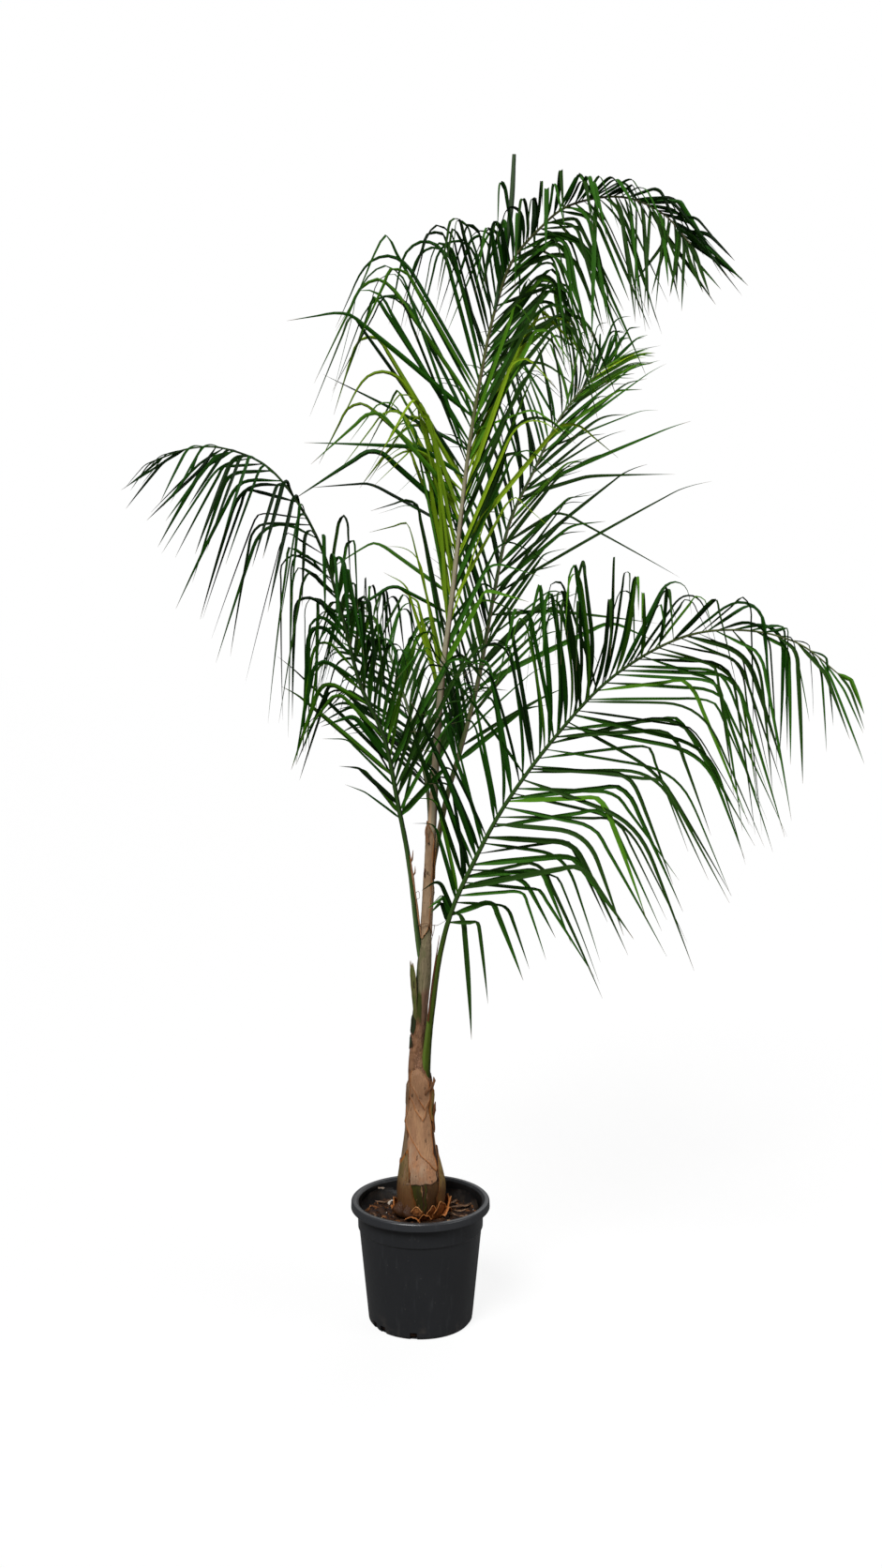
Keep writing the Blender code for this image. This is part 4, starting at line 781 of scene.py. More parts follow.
def sheath_material(name, body, second, rust, rim=EDGE_SHADE, band=0.36, spots=0.35, rough=0.5, foot_darkening=0.8):
    """Old leaf base: fibres up its length, a rusty band along torn margins and a thin rim, which in a dark
    colour is a painted shadow line.
    """
    made, tree, shader, place = blank_material(name)
    margin = attribute(tree, "margin")
    patches = mottle(tree, squashed(tree, place, 0.4), 44.0, body, second, spots)
    fibres = fibre(tree, place, 420.0, 0.045)
    base = laid(tree, patches["Colour"], fibres, 0.34, scaled(body, 0.4))
    wander = times_add(tree, noise_value(tree, place, 60.0, 4.0), 0.4, margin)
    edge = smooth_step(tree, wander, band + 0.42, band + 0.12)
    base = laid(tree, base, edge, 0.85, rust)
    # The thin rim right at the edge; in a dark colour it is a painted shadow line.
    thin = times(tree, smooth_step(tree, margin, 0.09, 0.02), smooth_step(tree, wander, 0.42, 0.12))
    base = laid(tree, base, thin, 0.75, rim)
    height = axis(tree, place, "Z")
    clouded = noise_value(tree, place, 40.0, 4.0)
    upper = smooth_step(tree, times_add(tree, clouded, 0.06, height), 0.455, 0.49)
    upper = times(tree, upper, smooth_step(tree, height, 0.56, 0.53))
    base = laid(tree, base, upper, 0.4, (0.115, 0.05, 0.02))
    # Darker towards the foot, below about 0.3 m.
    foot = smooth_step(tree, times_add(tree, clouded, 0.05, height), 0.345, 0.285)
    base = laid(tree, base, foot, foot_darkening, scaled(rust, 0.24))
    cracks = spotted(tree, squashed(tree, place, 0.35), 150.0, 2.0, 0.66, 0.7)
    base = laid(tree, base, cracks, 0.75, (0.03, 0.015, 0.008))
    base = scar_rings(tree, base, place)
    coat(tree, shader, base, times_add(tree, fibres, 0.18, rough), 0.3)
    bump(tree, shader, maths(tree, "SUBTRACT", fibres, cracks), 0.0007, 0.9)
    return made


def stem_material():
    """The stem: netted brown below, then green, then grey olive with a dark left edge."""
    made, tree, shader, place = blank_material("stem_fibre")
    parts = put(tree, "ShaderNodeSeparateXYZ", {0: place}).outputs
    flatter = squashed(tree, place, 0.35)
    clouds = noise_value(tree, flatter, 60.0, 4.0)
    wander = times_add(tree, clouds, 0.05, parts["Z"])
    brown = mottle(tree, place, 80.0, (0.37, 0.185, 0.092), (0.18, 0.08, 0.034), 0.8)["Colour"]
    inputs = {"Vector": place, "Scale": 170.0, "Detail": 3.0}
    wobble = put(tree, "ShaderNodeTexNoise", inputs).outputs["Color"]
    bent = lengthened(tree, wobble, 0.009)
    warped = vector_maths(tree, "ADD", squashed(tree, place, 0.5), bent)
    net = put(
        tree, "ShaderNodeTexVoronoi", {"Vector": warped, "Scale": 330.0}, feature="DISTANCE_TO_EDGE"
    ).outputs["Distance"]
    strands = times(tree, smooth_step(tree, net, 0.22, 0.02), smooth_step(tree, clouds, 0.42, 0.58))
    strands = times(tree, strands, smooth_step(tree, wander, 0.64, 0.615))
    brown = laid(tree, brown, strands, 0.75, (0.46, 0.235, 0.145))
    olive = mottle(tree, flatter, 70.0, (0.195, 0.185, 0.085), (0.33, 0.265, 0.155), 0.75)["Colour"]
    side = times_add(tree, clouds, 0.006, parts["X"])
    olive = mixed(tree, smooth_step(tree, side, 0.004, -0.006), olive, (0.05, 0.095, 0.022))
    green = mixed(tree, smooth_step(tree, side, 0.004, 0.007), (0.055, 0.078, 0.006), (0.3, 0.165, 0.105))
    base = mixed(tree, smooth_step(tree, wander, 0.672, 0.692), green, olive)
    base = mixed(tree, smooth_step(tree, wander, 0.612, 0.632), brown, base)
    fibres = fibre(tree, place, 520.0, 0.05)
    base = laid(tree, base, fibres, 0.35, (0.045, 0.028, 0.014))
    coat(tree, shader, base, 0.66, 0.3)
    bump(tree, shader, maths(tree, "ADD", strands, fibres), 0.0009, 0.9)
    return made


def rib_material(name, foot, middle, tip, change):
    """A frond's stalk and rib. change: where along it the three colours give way."""
    made, tree, shader, place = blank_material(name)
    along = attribute(tree, "along")
    wander = times_add(tree, noise_value(tree, place, 22.0, 4.0), 0.06, along)
    base = mixed(tree, smooth_step(tree, wander, change[0], change[0] + 0.1), foot, middle)
    base = mixed(tree, smooth_step(tree, wander, change[1], change[1] + 0.14), base, tip)
    fibres = fibre(tree, place, 600.0, 0.04)
    across = times_add(tree, fibres, 0.35, attribute(tree, "across"))
    # The side towards the key light is made paler near the foot, a painted highlight, and the far side is
    # darkened all along, painted shade.
    pale = mixed(tree, smooth_step(tree, across, 0.1, 0.8), base, scaled(foot, 1.9, 0.02))
    base = mixed(tree, smooth_step(tree, along, 0.24, 0.16), base, pale)
    base = mixed(tree, smooth_step(tree, across, 0.1, -0.6), base, scaled(foot, 0.35))
    base = laid(tree, base, fibres, 0.22, scaled(foot, 0.45))
    base = laid(tree, base, spotted(tree, place, 120.0, 2.0, 0.66, 0.74), 0.45, (0.07, 0.04, 0.02))
    coat(tree, shader, base, times_add(tree, fibres, 0.15, 0.42), 0.3)
    bump(tree, shader, fibres, 0.0004, 0.6)
    return made


def leaf_material(name, green, light, gloss):
    """A leaflet's green. light: the paler green of its midrib and root."""
    made, tree, shader, place = blank_material(name)
    blade = use_group(tree, "blade", {
        "Place": place, "Along": attribute(tree, "along"), "Across": attribute(tree, "across"),
        "Tone": attribute(tree, "tone"), "Green": (*green, 1), "Light": (*light, 1), "Gloss": gloss,
    }).outputs
    coat(tree, shader, blade["Colour"], blade["Roughness"], 0.09)
    bump(tree, shader, blade["Veins"], 0.0003, 0.5)
    return made


# ---- geometry node trees ------------------------------------------------------------------
GEOMETRY, MATERIAL, INTEGER, OBJECT = (
    "NodeSocketGeometry", "NodeSocketMaterial", "NodeSocketInt", "NodeSocketObject"
)


def new_tree(name, *ins):
    """A geometry node tree with geometry in and out, and more named inputs."""
    ins = (("Geometry", GEOMETRY, None), *ins)
    return new_group(name, "GeometryNodeTree", ins, (("Geometry", GEOMETRY),))


def named(tree, name, data_type="FLOAT"):
    return first_of(tree, "GeometryNodeInputNamedAttribute", {0: name}, data_type=data_type)


def kept(tree, geometry, name, value):
    """Stores a value on the points under a name."""
    inputs = {0: geometry, "Name": name, "Value": value}
    return first_of(tree, "GeometryNodeStoreNamedAttribute", inputs, data_type="FLOAT", domain="POINT")


def aimed_curve(tree, geometry):
    """Edge chains made into curves whose normals are the stored wide direction."""
    curve = first_of(tree, "GeometryNodeMeshToCurve", {0: geometry})
    inputs = {0: curve, "Normal": named(tree, "wide", "FLOAT_VECTOR")}
    return first_of(tree, "GeometryNodeSetCurveNormal", inputs, mode="FREE")


def unit_ring(tree, sides):
    """A circle of points with their places across and up."""
    ring = first_of(tree, "GeometryNodeCurvePrimitiveCircle", {"Resolution": sides, "Radius": 1.0})
    spot = put(tree, "ShaderNodeSeparateXYZ", {0: first_of(tree, "GeometryNodeInputPosition")}).outputs
    return ring, spot["X"], spot["Y"]


def moved_ring(tree, ring, across, up):
    place = first_of(tree, "ShaderNodeCombineXYZ", {0: across, 1: up})
    return first_of(tree, "GeometryNodeSetPosition", {0: ring, "Position": place})


def swept(tree, curve, ring, size):
    inputs = {"Curve": curve, "Profile Curve": ring, "Scale": size, "Fill Caps": True}
    return first_of(tree, "GeometryNodeCurveToMesh", inputs)


def finished(tree, mesh, finish, outs=None):
    """Sets the material on a mesh made real and, where it is the last step, puts it out."""
    mesh = first_of(tree, "GeometryNodeRealizeInstances", {0: mesh})
    mesh = first_of(tree, "GeometryNodeSetMaterial", {0: mesh, "Material": finish})
    if outs:
        wire(tree, outs, {0: mesh})
    return mesh


def leaflet_tree():
    """Sweeps a thin roof-shaped blade along every chain of edges."""
    tree, ins, outs = new_tree(
        "leaflet_sweep", ("Half Width", FLOAT, 0.005), ("Thickness", FLOAT, 0.1), ("Fold", FLOAT, 0.3),
        ("Blade", MATERIAL, None), ("Underside", MATERIAL, None),
    )
    curve = aimed_curve(tree, ins["Geometry"])
    ring, across, side = unit_ring(tree, 4)
    ring = kept(tree, kept(tree, ring, "across", across), "side", side)
    roof = times(tree, maths(tree, "SUBTRACT", 1.0, maths(tree, "ABSOLUTE", across)), ins["Fold"])
    ring = moved_ring(tree, ring, across, times_add(tree, side, ins["Thickness"], roof))
    mesh = swept(tree, curve, ring, times(tree, named(tree, "half"), ins["Half Width"]))
    mesh = first_of(tree, "GeometryNodeMergeByDistance", {0: mesh, "Distance": 0.00004})
    mesh = finished(tree, mesh, ins["Blade"])
    under = first_of(
        tree, "FunctionNodeCompare", {0: named(tree, "side"), 1: 0.0}, data_type="FLOAT",
        operation="LESS_THAN",
    )
    inputs = {0: mesh, "Selection": under, "Material": ins["Underside"]}
    wire(tree, outs, {0: first_of(tree, "GeometryNodeSetMaterial", inputs)})
    return tree


def limb_tree():
    """Sweeps a round limb with a channel on one side along every chain of edges."""
    tree, ins, outs = new_tree(
        "limb_sweep", ("Sides", INTEGER, 16), ("Channel", FLOAT, 0.3), ("Ripple", FLOAT, 0.0004),
        ("Finish", MATERIAL, None),
    )
    curve = aimed_curve(tree, ins["Geometry"])
    ring, across, up = unit_ring(tree, ins["Sides"])
    ring = kept(tree, ring, "across", across)
    middle = smooth_step(tree, maths(tree, "ABSOLUTE", across), 0.62, 0.0)
    dip = times(tree, middle, times(tree, ins["Channel"], smooth_step(tree, up, 0.0, 0.6)))
    ring = moved_ring(tree, ring, across, maths(tree, "SUBTRACT", up, dip))
    mesh = swept(tree, curve, ring, named(tree, "half"))
    place = first_of(tree, "GeometryNodeInputPosition")
    lumps = maths(tree, "SUBTRACT", noise_value(tree, place, 60.0, 2.0), 0.5)
    normal = first_of(tree, "GeometryNodeInputNormal")
    push = lengthened(tree, normal, times(tree, lumps, ins["Ripple"]))
    mesh = first_of(tree, "GeometryNodeSetPosition", {0: mesh, "Offset": push})
    finished(tree, mesh, ins["Finish"], outs)
    return tree


def scatter_tree():
    """Strews copies of one chip over a surface, turned and sized at random."""
    tree, ins, outs = new_tree(
        "chip_scatter", ("Chip", OBJECT, None), ("Density", FLOAT, 5000.0), ("Spacing", FLOAT, 0.002),
        ("Smallest", FLOAT, 0.5), ("Largest", FLOAT, 1.4), ("Tumble", FLOAT, 0.7),
        ("Seed", INTEGER, 1), ("Finish", MATERIAL, None),
    )
    points = put(
        tree, "GeometryNodeDistributePointsOnFaces",
        {"Mesh": ins["Geometry"], "Distance Min": ins["Spacing"], "Density Max": ins["Density"],
         "Seed": ins["Seed"]},
        distribute_method="POISSON",
    ).outputs["Points"]
    chip = put(tree, "GeometryNodeObjectInfo", {"Object": ins["Chip"]}).outputs["Geometry"]
    tip = [times(tree, ins["Tumble"], -1.0) for _ in range(2)]
    low = first_of(tree, "ShaderNodeCombineXYZ", {0: tip[0], 1: tip[1], 2: 0.0})
    high = first_of(tree, "ShaderNodeCombineXYZ", {0: ins["Tumble"], 1: ins["Tumble"], 2: 2 * math.pi})
    turn = first_of(
        tree, "FunctionNodeRandomValue", {0: low, 1: high, "Seed": ins["Seed"]},
        data_type="FLOAT_VECTOR",
    )
    size_seed = maths(tree, "ADD", ins["Seed"], 7.0)
    size = put(
        tree, "FunctionNodeRandomValue", {2: ins["Smallest"], 3: ins["Largest"], "Seed": size_seed},
        data_type="FLOAT",
    ).outputs[1]
    rotation = first_of(tree, "FunctionNodeEulerToRotation", {0: turn})
    inputs = {"Points": points, "Instance": chip, "Rotation": rotation, "Scale": size}
    placed = first_of(tree, "GeometryNodeInstanceOnPoints", inputs)
    finished(tree, placed, ins["Finish"], outs)
    return tree


TREES = {}


def node_tree(name):
    """One of the geometry node trees, built on first use."""
    if name not in TREES:
        TREES[name] = {"leaflet": leaflet_tree, "limb": limb_tree, "scatter": scatter_tree}[name]()
    return TREES[name]


# ---- mesh helpers -------------------------------------------------------------------------
def linked(name, mesh):
    """A new object in the scene."""
    made = bpy.data.objects.new(name, mesh)
    bpy.context.scene.collection.objects.link(made)
    return made


def evaluated_mesh(source):
    """The mesh that an object's modifiers give."""
    bpy.context.view_layer.update()
    graph = bpy.context.evaluated_depsgraph_get()
    return bpy.data.meshes.new_from_object(
        source.evaluated_get(graph), preserve_all_data_layers=True, depsgraph=graph
    )


def grown(source, tree_name, name, **values):
    """Runs a geometry node tree on an object and returns its result as a plain mesh object."""
    tree = node_tree(tree_name)
    modifier = source.modifiers.new("grow", "NODES")
    modifier.node_group = tree
    sockets = {s.name: s.identifier for s in tree.interface.items_tree if s.in_out == "INPUT"}
    for key, value in values.items():
        modifier[sockets[key.replace("_", " ").title()]] = value
    mesh = evaluated_mesh(source)
    mesh.name = name
    made = linked(name, mesh)
    bpy.data.objects.remove(source)
    return made


def add_object(name, points, faces, finish=None, edges=()):
    mesh = bpy.data.meshes.new(name)
    mesh.from_pydata([tuple(p) for p in points], list(edges), faces)
    mesh.update()
    if finish:
        mesh.materials.append(finish)
    return linked(name, mesh)


def from_bmesh(name, work):
    """Turns worked-on geometry into an object."""
    mesh = bpy.data.meshes.new(name)
    work.to_mesh(mesh)
    work.free()
    return linked(name, mesh)


def store(mesh, name, values, kind="FLOAT"):
    held = mesh.attributes.new(name, kind, "POINT")
    if kind == "FLOAT":
        held.data.foreach_set("value", values)
    else:
        held.data.foreach_set("vector", [c for v in values for c in v])


def smoothed(made, angle):
    """Smooth shading, with edges kept crisp past an angle in degrees."""
    made.data.shade_smooth()
    made.data.set_sharp_from_angle(angle=math.radians(angle))
    return made


def baked(made):
    """Applies an object's modifiers to its mesh."""
    mesh = evaluated_mesh(made)
    made.modifiers.clear()
    made.data = mesh
    return made


def sheet(name, points, rows, finish, thickness, margins=None, flip=False):
    """A thickened sheet of columns of rows + 1 points. margins: how far each is from an edge."""
    faces, step = [], rows + 1
    for start in range(0, len(points) - step, step):
        for a in range(start, start + rows):
            near, far = (a, a + 1), (a + step, a + step + 1)
            faces.append((*near, *far[::-1]) if flip else (near[0], *far, near[1]))
    made = add_object(name, points, faces, finish)
    if margins:
        store(made.data, "margin", margins)
    made.modifiers.new("thickness", "SOLIDIFY").thickness = thickness
    return smoothed(baked(made), 50)


def joined(name, parts):
    """Joins meshes into one object."""
    with bpy.context.temp_override(
        active_object=parts[0], object=parts[0], selected_objects=parts, selected_editable_objects=parts
    ):
        bpy.ops.object.join()
    parts[0].name = parts[0].data.name = name
    return parts[0]


def fitted(piece, slot, *nodes):
    """Fixes a finished piece to the frame and hides what it stands for."""
    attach(piece, BODY)
    if nodes:
        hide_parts(*nodes)
    return piece


def filleted(profile, radius, steps=4):
    """A profile of (radius, height) whose corners are rounded off."""
    path = [Vector(p) for p in profile]
    out = [path[0]]
    for before, corner, after in zip(path, path[1:], path[2:]):
        to_before, to_after = before - corner, after - corner
        reach = min(radius, 0.45 * to_before.length, 0.45 * to_after.length)
        start, end = corner + to_before.normalized() * reach, corner + to_after.normalized() * reach
        for k in range(steps + 1):
            t = k / steps
            out.append(start.lerp(corner, t).lerp(corner.lerp(end, t), t))
    out.append(path[-1])
    return out


def turned(name, profile, sides, finish):
    """A body of revolution about Z. The profile runs from the axis round to the axis again."""
    points, faces, rings = [], [], []
    for radius, height in profile:
        count = 1 if radius < 1e-6 else sides
        rings.append(range(len(points), len(points) + count))
        for i in range(count):
            turn = 2 * math.pi * i / sides
            points.append((radius * math.cos(turn), radius * math.sin(turn), height))
    for low, high in zip(rings, rings[1:]):
        for i in range(sides):
            j = (i + 1) % sides
            ring = [low[i % len(low)], low[j % len(low)], high[j % len(high)], high[i % len(high)]]
            faces.append(list(dict.fromkeys(ring)))
    return add_object(name, points, faces, finish)


def smooth_path(guides, per_span):
    """Points on a Catmull-Rom curve through the guide points."""
    knots = [Vector(g) for g in guides]
    knots = [2 * knots[0] - knots[1], *knots, 2 * knots[-1] - knots[-2]]
    path = []
    for a, b, c, d in zip(knots, knots[1:], knots[2:], knots[3:]):
        for k in range(per_span):
            t = k / per_span
            lower = 2 * b + (c - a) * t + (2 * a - 5 * b + 4 * c - d) * t**2
            path.append(0.5 * (lower + (3 * b - a - 3 * c + d) * t**3))
    path.append(knots[-2])
    return path


STEM_STATIONS = smooth_path(STEM, 8)


def stem_at(height):
    """Middle and radius of the stem at a height."""
    for low, high in zip(STEM_STATIONS, STEM_STATIONS[1:]):
        if height <= high[0] or high is STEM_STATIONS[-1]:
            share = (height - low[0]) / (high[0] - low[0])
            x, y, radius = (a + (b - a) * share for a, b in zip(low[1:], high[1:]))
            return Vector((x, y, height)), radius


def core_at(height):
    """Middle and radius of the stem and, above it, of the middle rib."""
    if height < STEM[-1][0]:
        return stem_at(height)
    return MIDDLE_RIB.at_height(height)


def around(degrees):
    turn = math.radians(degrees)
    return Vector((math.cos(turn), math.sin(turn), 0))


# ---- leaflet rule -------------------------------------------------------------------------
class Rib:
    """The smooth route of a frond's rib, read by its share of the length."""

    def __init__(self, frond):
        self.frond = frond
        self.path = smooth_path(frond.guides, 24)
        self.run = [0.0]
        for a, b in zip(self.path, self.path[1:]):
            self.run.append(self.run[-1] + (b - a).length)
        self.length = self.run[-1]
        self.heights = [(self.at(i / 400).z, i / 400) for i in range(401)]

    def at(self, share):
        goal = min(1.0, max(0.0, share)) * self.length
        low, high = 0, len(self.run) - 1
        while high - low > 1:
            middle = (low + high) // 2
            low, high = (middle, high) if self.run[middle] <= goal else (low, middle)
        part = (goal - self.run[low]) / (self.run[high] - self.run[low])
        return self.path[low].lerp(self.path[high], part)

    def along(self, share):
        return (self.at(share + 0.008) - self.at(share - 0.008)).normalized()

    def at_height(self, height):
        """Middle and radius of a rising rib at a height."""
        share = next(share for rise, share in self.heights if rise >= height)
        place = self.at(share)
        return Vector((place.x, place.y, height)), self.radius(share)

    def radius(self, share):
        return keyed([k[0] for k in self.frond.thick], [k[1] for k in self.frond.thick], share)


def keyed(shares, values, share):
    """Straight-line reading of values given at shares."""
    if share <= shares[0]:
        return values[0]
    for a, b, va, vb in zip(shares, shares[1:], values, values[1:]):
        if share <= b:
            return va + (vb - va) * (share - a) / (b - a)
    return values[-1]


def read_key(keys, share):
    shares = [k.share for k in keys]
    return Key(share, *(keyed(shares, [k[c] for k in keys], share) for c in range(1, len(Key._fields))))


def eased(x):
    x = min(1.0, max(0.0, x))
    return x * x * (3 - 2 * x)


Leaflet = namedtuple("Leaflet", "share side line wide width extra")


def grow_leaflet(rib, share, side, rule, soft, twist, width, extra):
    """The middle line of a leaflet, with its width direction at each point."""
    along = rib.along(share)
    across = along.cross(Vector((0, -1, 0))).normalized()
    front = across.cross(along).normalized()
    if front.y > 0:
        front = -front
    roll, splay, droop = (math.radians(v) for v in (rule.roll, rule.splay, rule.droop))
    out = side * across * math.cos(roll) + front * math.sin(roll)
    aim = along * math.cos(splay) + out * math.sin(splay)
    face = along.cross(out).normalized()
    wide = face.cross(aim).normalized()
    rise = math.atan2(aim.z, math.hypot(aim.x, aim.y))
    heading = math.atan2(aim.y, aim.x)
    final = math.atan2(aim.y + OUTWARD * out.y, aim.x + OUTWARD * out.x)
    swing = (final - heading + math.pi) % (2 * math.pi) - math.pi
    full = rule.reach + rule.fall
    stride = full / LEAF_STEPS
    sag = math.radians(4)
    line, wides = [rib.at(share)], []
    for k in range(LEAF_STEPS):
        gone = (k + 0.5) * stride
        bent = eased((gone - rule.reach) / (soft * full) + 0.5)
        slope = rise + (droop - rise) * bent - sag * (gone / full) * math.cos(rise)
        turn = heading + swing * min(1.0, gone / (0.5 * rule.reach + 0.01))
        step = Vector((math.cos(slope) * math.cos(turn), math.cos(slope) * math.sin(turn), math.sin(slope)))
        wide = (wide - step * wide.dot(step)).normalized()
        angle = twist[0] + twist[1] * gone / full
        wides.append(Quaternion(step, angle) @ wide)
        line.append(line[-1] + step * stride)
    wides.append(wides[-1])
    return Leaflet(share, side, line, wides, width, extra)


def leaflets(rib):
    """All leaflets of a frond, left row, right row and then the single ones."""
    frond = rib.frond
    dice = random.Random(frond.seed)
    made = []
    for side, keys in ((-1, frond.left), (1, frond.right)):
        share = frond.leafy
        while share < 1.0:
            rule = read_key(keys, share)
            past_foot = share > frond.leafy + 0.12
            stray = dice.uniform(5, 25) if past_foot and dice.random() < STRAY_SHARE else 0.0
            rule = rule._replace(
                splay=rule.splay * dice.uniform(0.75, 1.2) + dice.uniform(-4, 4) + stray,
                reach=rule.reach * dice.uniform(0.82, 1.12),
                fall=rule.fall * dice.uniform(0.75, 1.15),
                droop=max(-88, rule.droop + dice.uniform(-9, 9)),
                roll=rule.roll + dice.uniform(-1, 1) * frond.spread,
            )
            soft = dice.choice((0.08, 0.13, 0.2, 0.34))
            twist = (dice.uniform(-0.7, 0.7), dice.uniform(-0.9, 0.9))
            width = dice.uniform(0.85, 1.15)
            made.append(grow_leaflet(rib, share, side, rule, soft, twist, width, False))
            share += rule.gap * GAP_LENGTH / rib.length * dice.uniform(0.35, 1.65)
    for e in frond.extra:
        rule = Key(e.share, e.splay, e.reach, e.fall, e.droop, e.roll, 0)
        twist = (dice.uniform(-0.7, 0.7), dice.uniform(-0.9, 0.9))
        made.append(grow_leaflet(rib, e.share, e.side, rule, 0.15, twist, 1.1, True))
    return made


def leaf_outline(along):
    """Half width of a leaflet along its length, as a share of its widest."""
    root = 0.38 + 0.62 * eased(along / 0.14)
    taper = max(0.0, (along - 0.42) / 0.58)
    return root * (1 - 0.96 * taper ** 1.6)


def tone_of(frond, leaf, dice):
    """Which kind of green a leaflet has."""
    if leaf.extra and frond.name == "centre":
        return dice.choices(KINDS, SINGLE_TONES)[0]
    for name, side, limit, weights in TONES:
        if name == frond.name and side in (0, leaf.side) and leaf.share <= limit:
            return dice.choices(KINDS, weights)[0]
    return "mid"


def chain_object(name, chains):
    """An object of edge chains. Each chain is a list of (point, wide, half, along, tone)."""
    points, edges, wides, halves, alongs, tones = [], [], [], [], [], []
    for chain in chains:
        first = len(points)
        for point, wide, half, along, tone in chain:
            points.append(point)
            wides.append(wide)
            halves.append(half)
            alongs.append(along)
            tones.append(tone)
        edges += [(i, i + 1) for i in range(first, len(points) - 1)]
    made = add_object(name, points, [], edges=edges)
    store(made.data, "wide", wides, "FLOAT_VECTOR")
    for key, values in (("half", halves), ("along", alongs), ("tone", tones)):
        store(made.data, key, values)
    return made


def limb(name, chains, finish, sides, channel, ripple, crisp):
    """One object of limbs swept along chains, its edges crisp past an angle in degrees."""
    source = chain_object("chain", chains)
    made = grown(source, "limb", name, sides=sides, channel=channel, ripple=ripple, finish=finish)
    return smoothed(made, crisp)


# ---- pieces -------------------------------------------------------------------------------
class PALM_OT_pot(bpy.types.Operator):
    """Turns the nursery pot and cuts its drain notches"""

    bl_idname = "palm.pot"
    bl_label = "Nursery Pot"

    def execute(self, context):
        sizes = context.scene.palm_pot
        finish = plastic_material(sizes.plastic)
        lip, base, wall = sizes.lip_radius, sizes.base_radius, sizes.wall
        inside = POT_COLLAR_RADIUS - wall
        step, lip_foot = 0.0016, POT_TOP - 0.017
        under_step = base + (UNDER_STEP_RADIUS - base) * (POT_STEP_HEIGHT - step) / POT_STEP_HEIGHT
        outside = [
            (0.0, 0.0), (base - 0.0045, 0.0), (base, 0.0058), (under_step, POT_STEP_HEIGHT - step),
            (POT_COLLAR_RADIUS - 0.0006, POT_STEP_HEIGHT + step), (POT_COLLAR_RADIUS, lip_foot),
            (lip - 0.0022, lip_foot), (lip, lip_foot + 0.0022), (lip - 0.0006, POT_TOP - 0.0022),
            (lip - 0.0026, POT_TOP), (POT_COLLAR_RADIUS + 0.003, POT_TOP),
            (inside + 0.0006, POT_TOP - 0.004), (inside, lip_foot - 0.004),
            (inside, POT_STEP_HEIGHT + step), (under_step - wall, POT_STEP_HEIGHT - step),
            (base - wall, 0.0062), (base - wall - 0.003, wall), (0.0, wall),
        ]
        pot = turned("nursery_pot", filleted(outside, 0.0009), POT_SEGMENTS, finish)
        for angle in NOTCH_ANGLES:
            self.cut_notch(pot, base, angle)
        smoothed(pot, 32)
        fitted(pot, "black_plastic", "pot")
        return {"FINISHED"}

    def cut_notch(self, pot, base, angle):
        """Cuts one square drain notch through the foot of the wall."""
        width, height = NOTCH_SIZE
        bpy.ops.mesh.primitive_cube_add(size=1)
        cutter = bpy.context.object
        turn = Matrix.Rotation(math.radians(angle), 4, "Z")
        place = turn @ Matrix.Translation((base, 0, height / 2 - 0.002))
        cutter.data.transform(place @ Matrix.Diagonal((0.014, width, height + 0.004, 1)))
        cut = pot.modifiers.new("notch", "BOOLEAN")
        cut.operation, cut.solver, cut.object = "DIFFERENCE", "EXACT", cutter
        baked(pot)
        bpy.data.objects.remove(cutter)


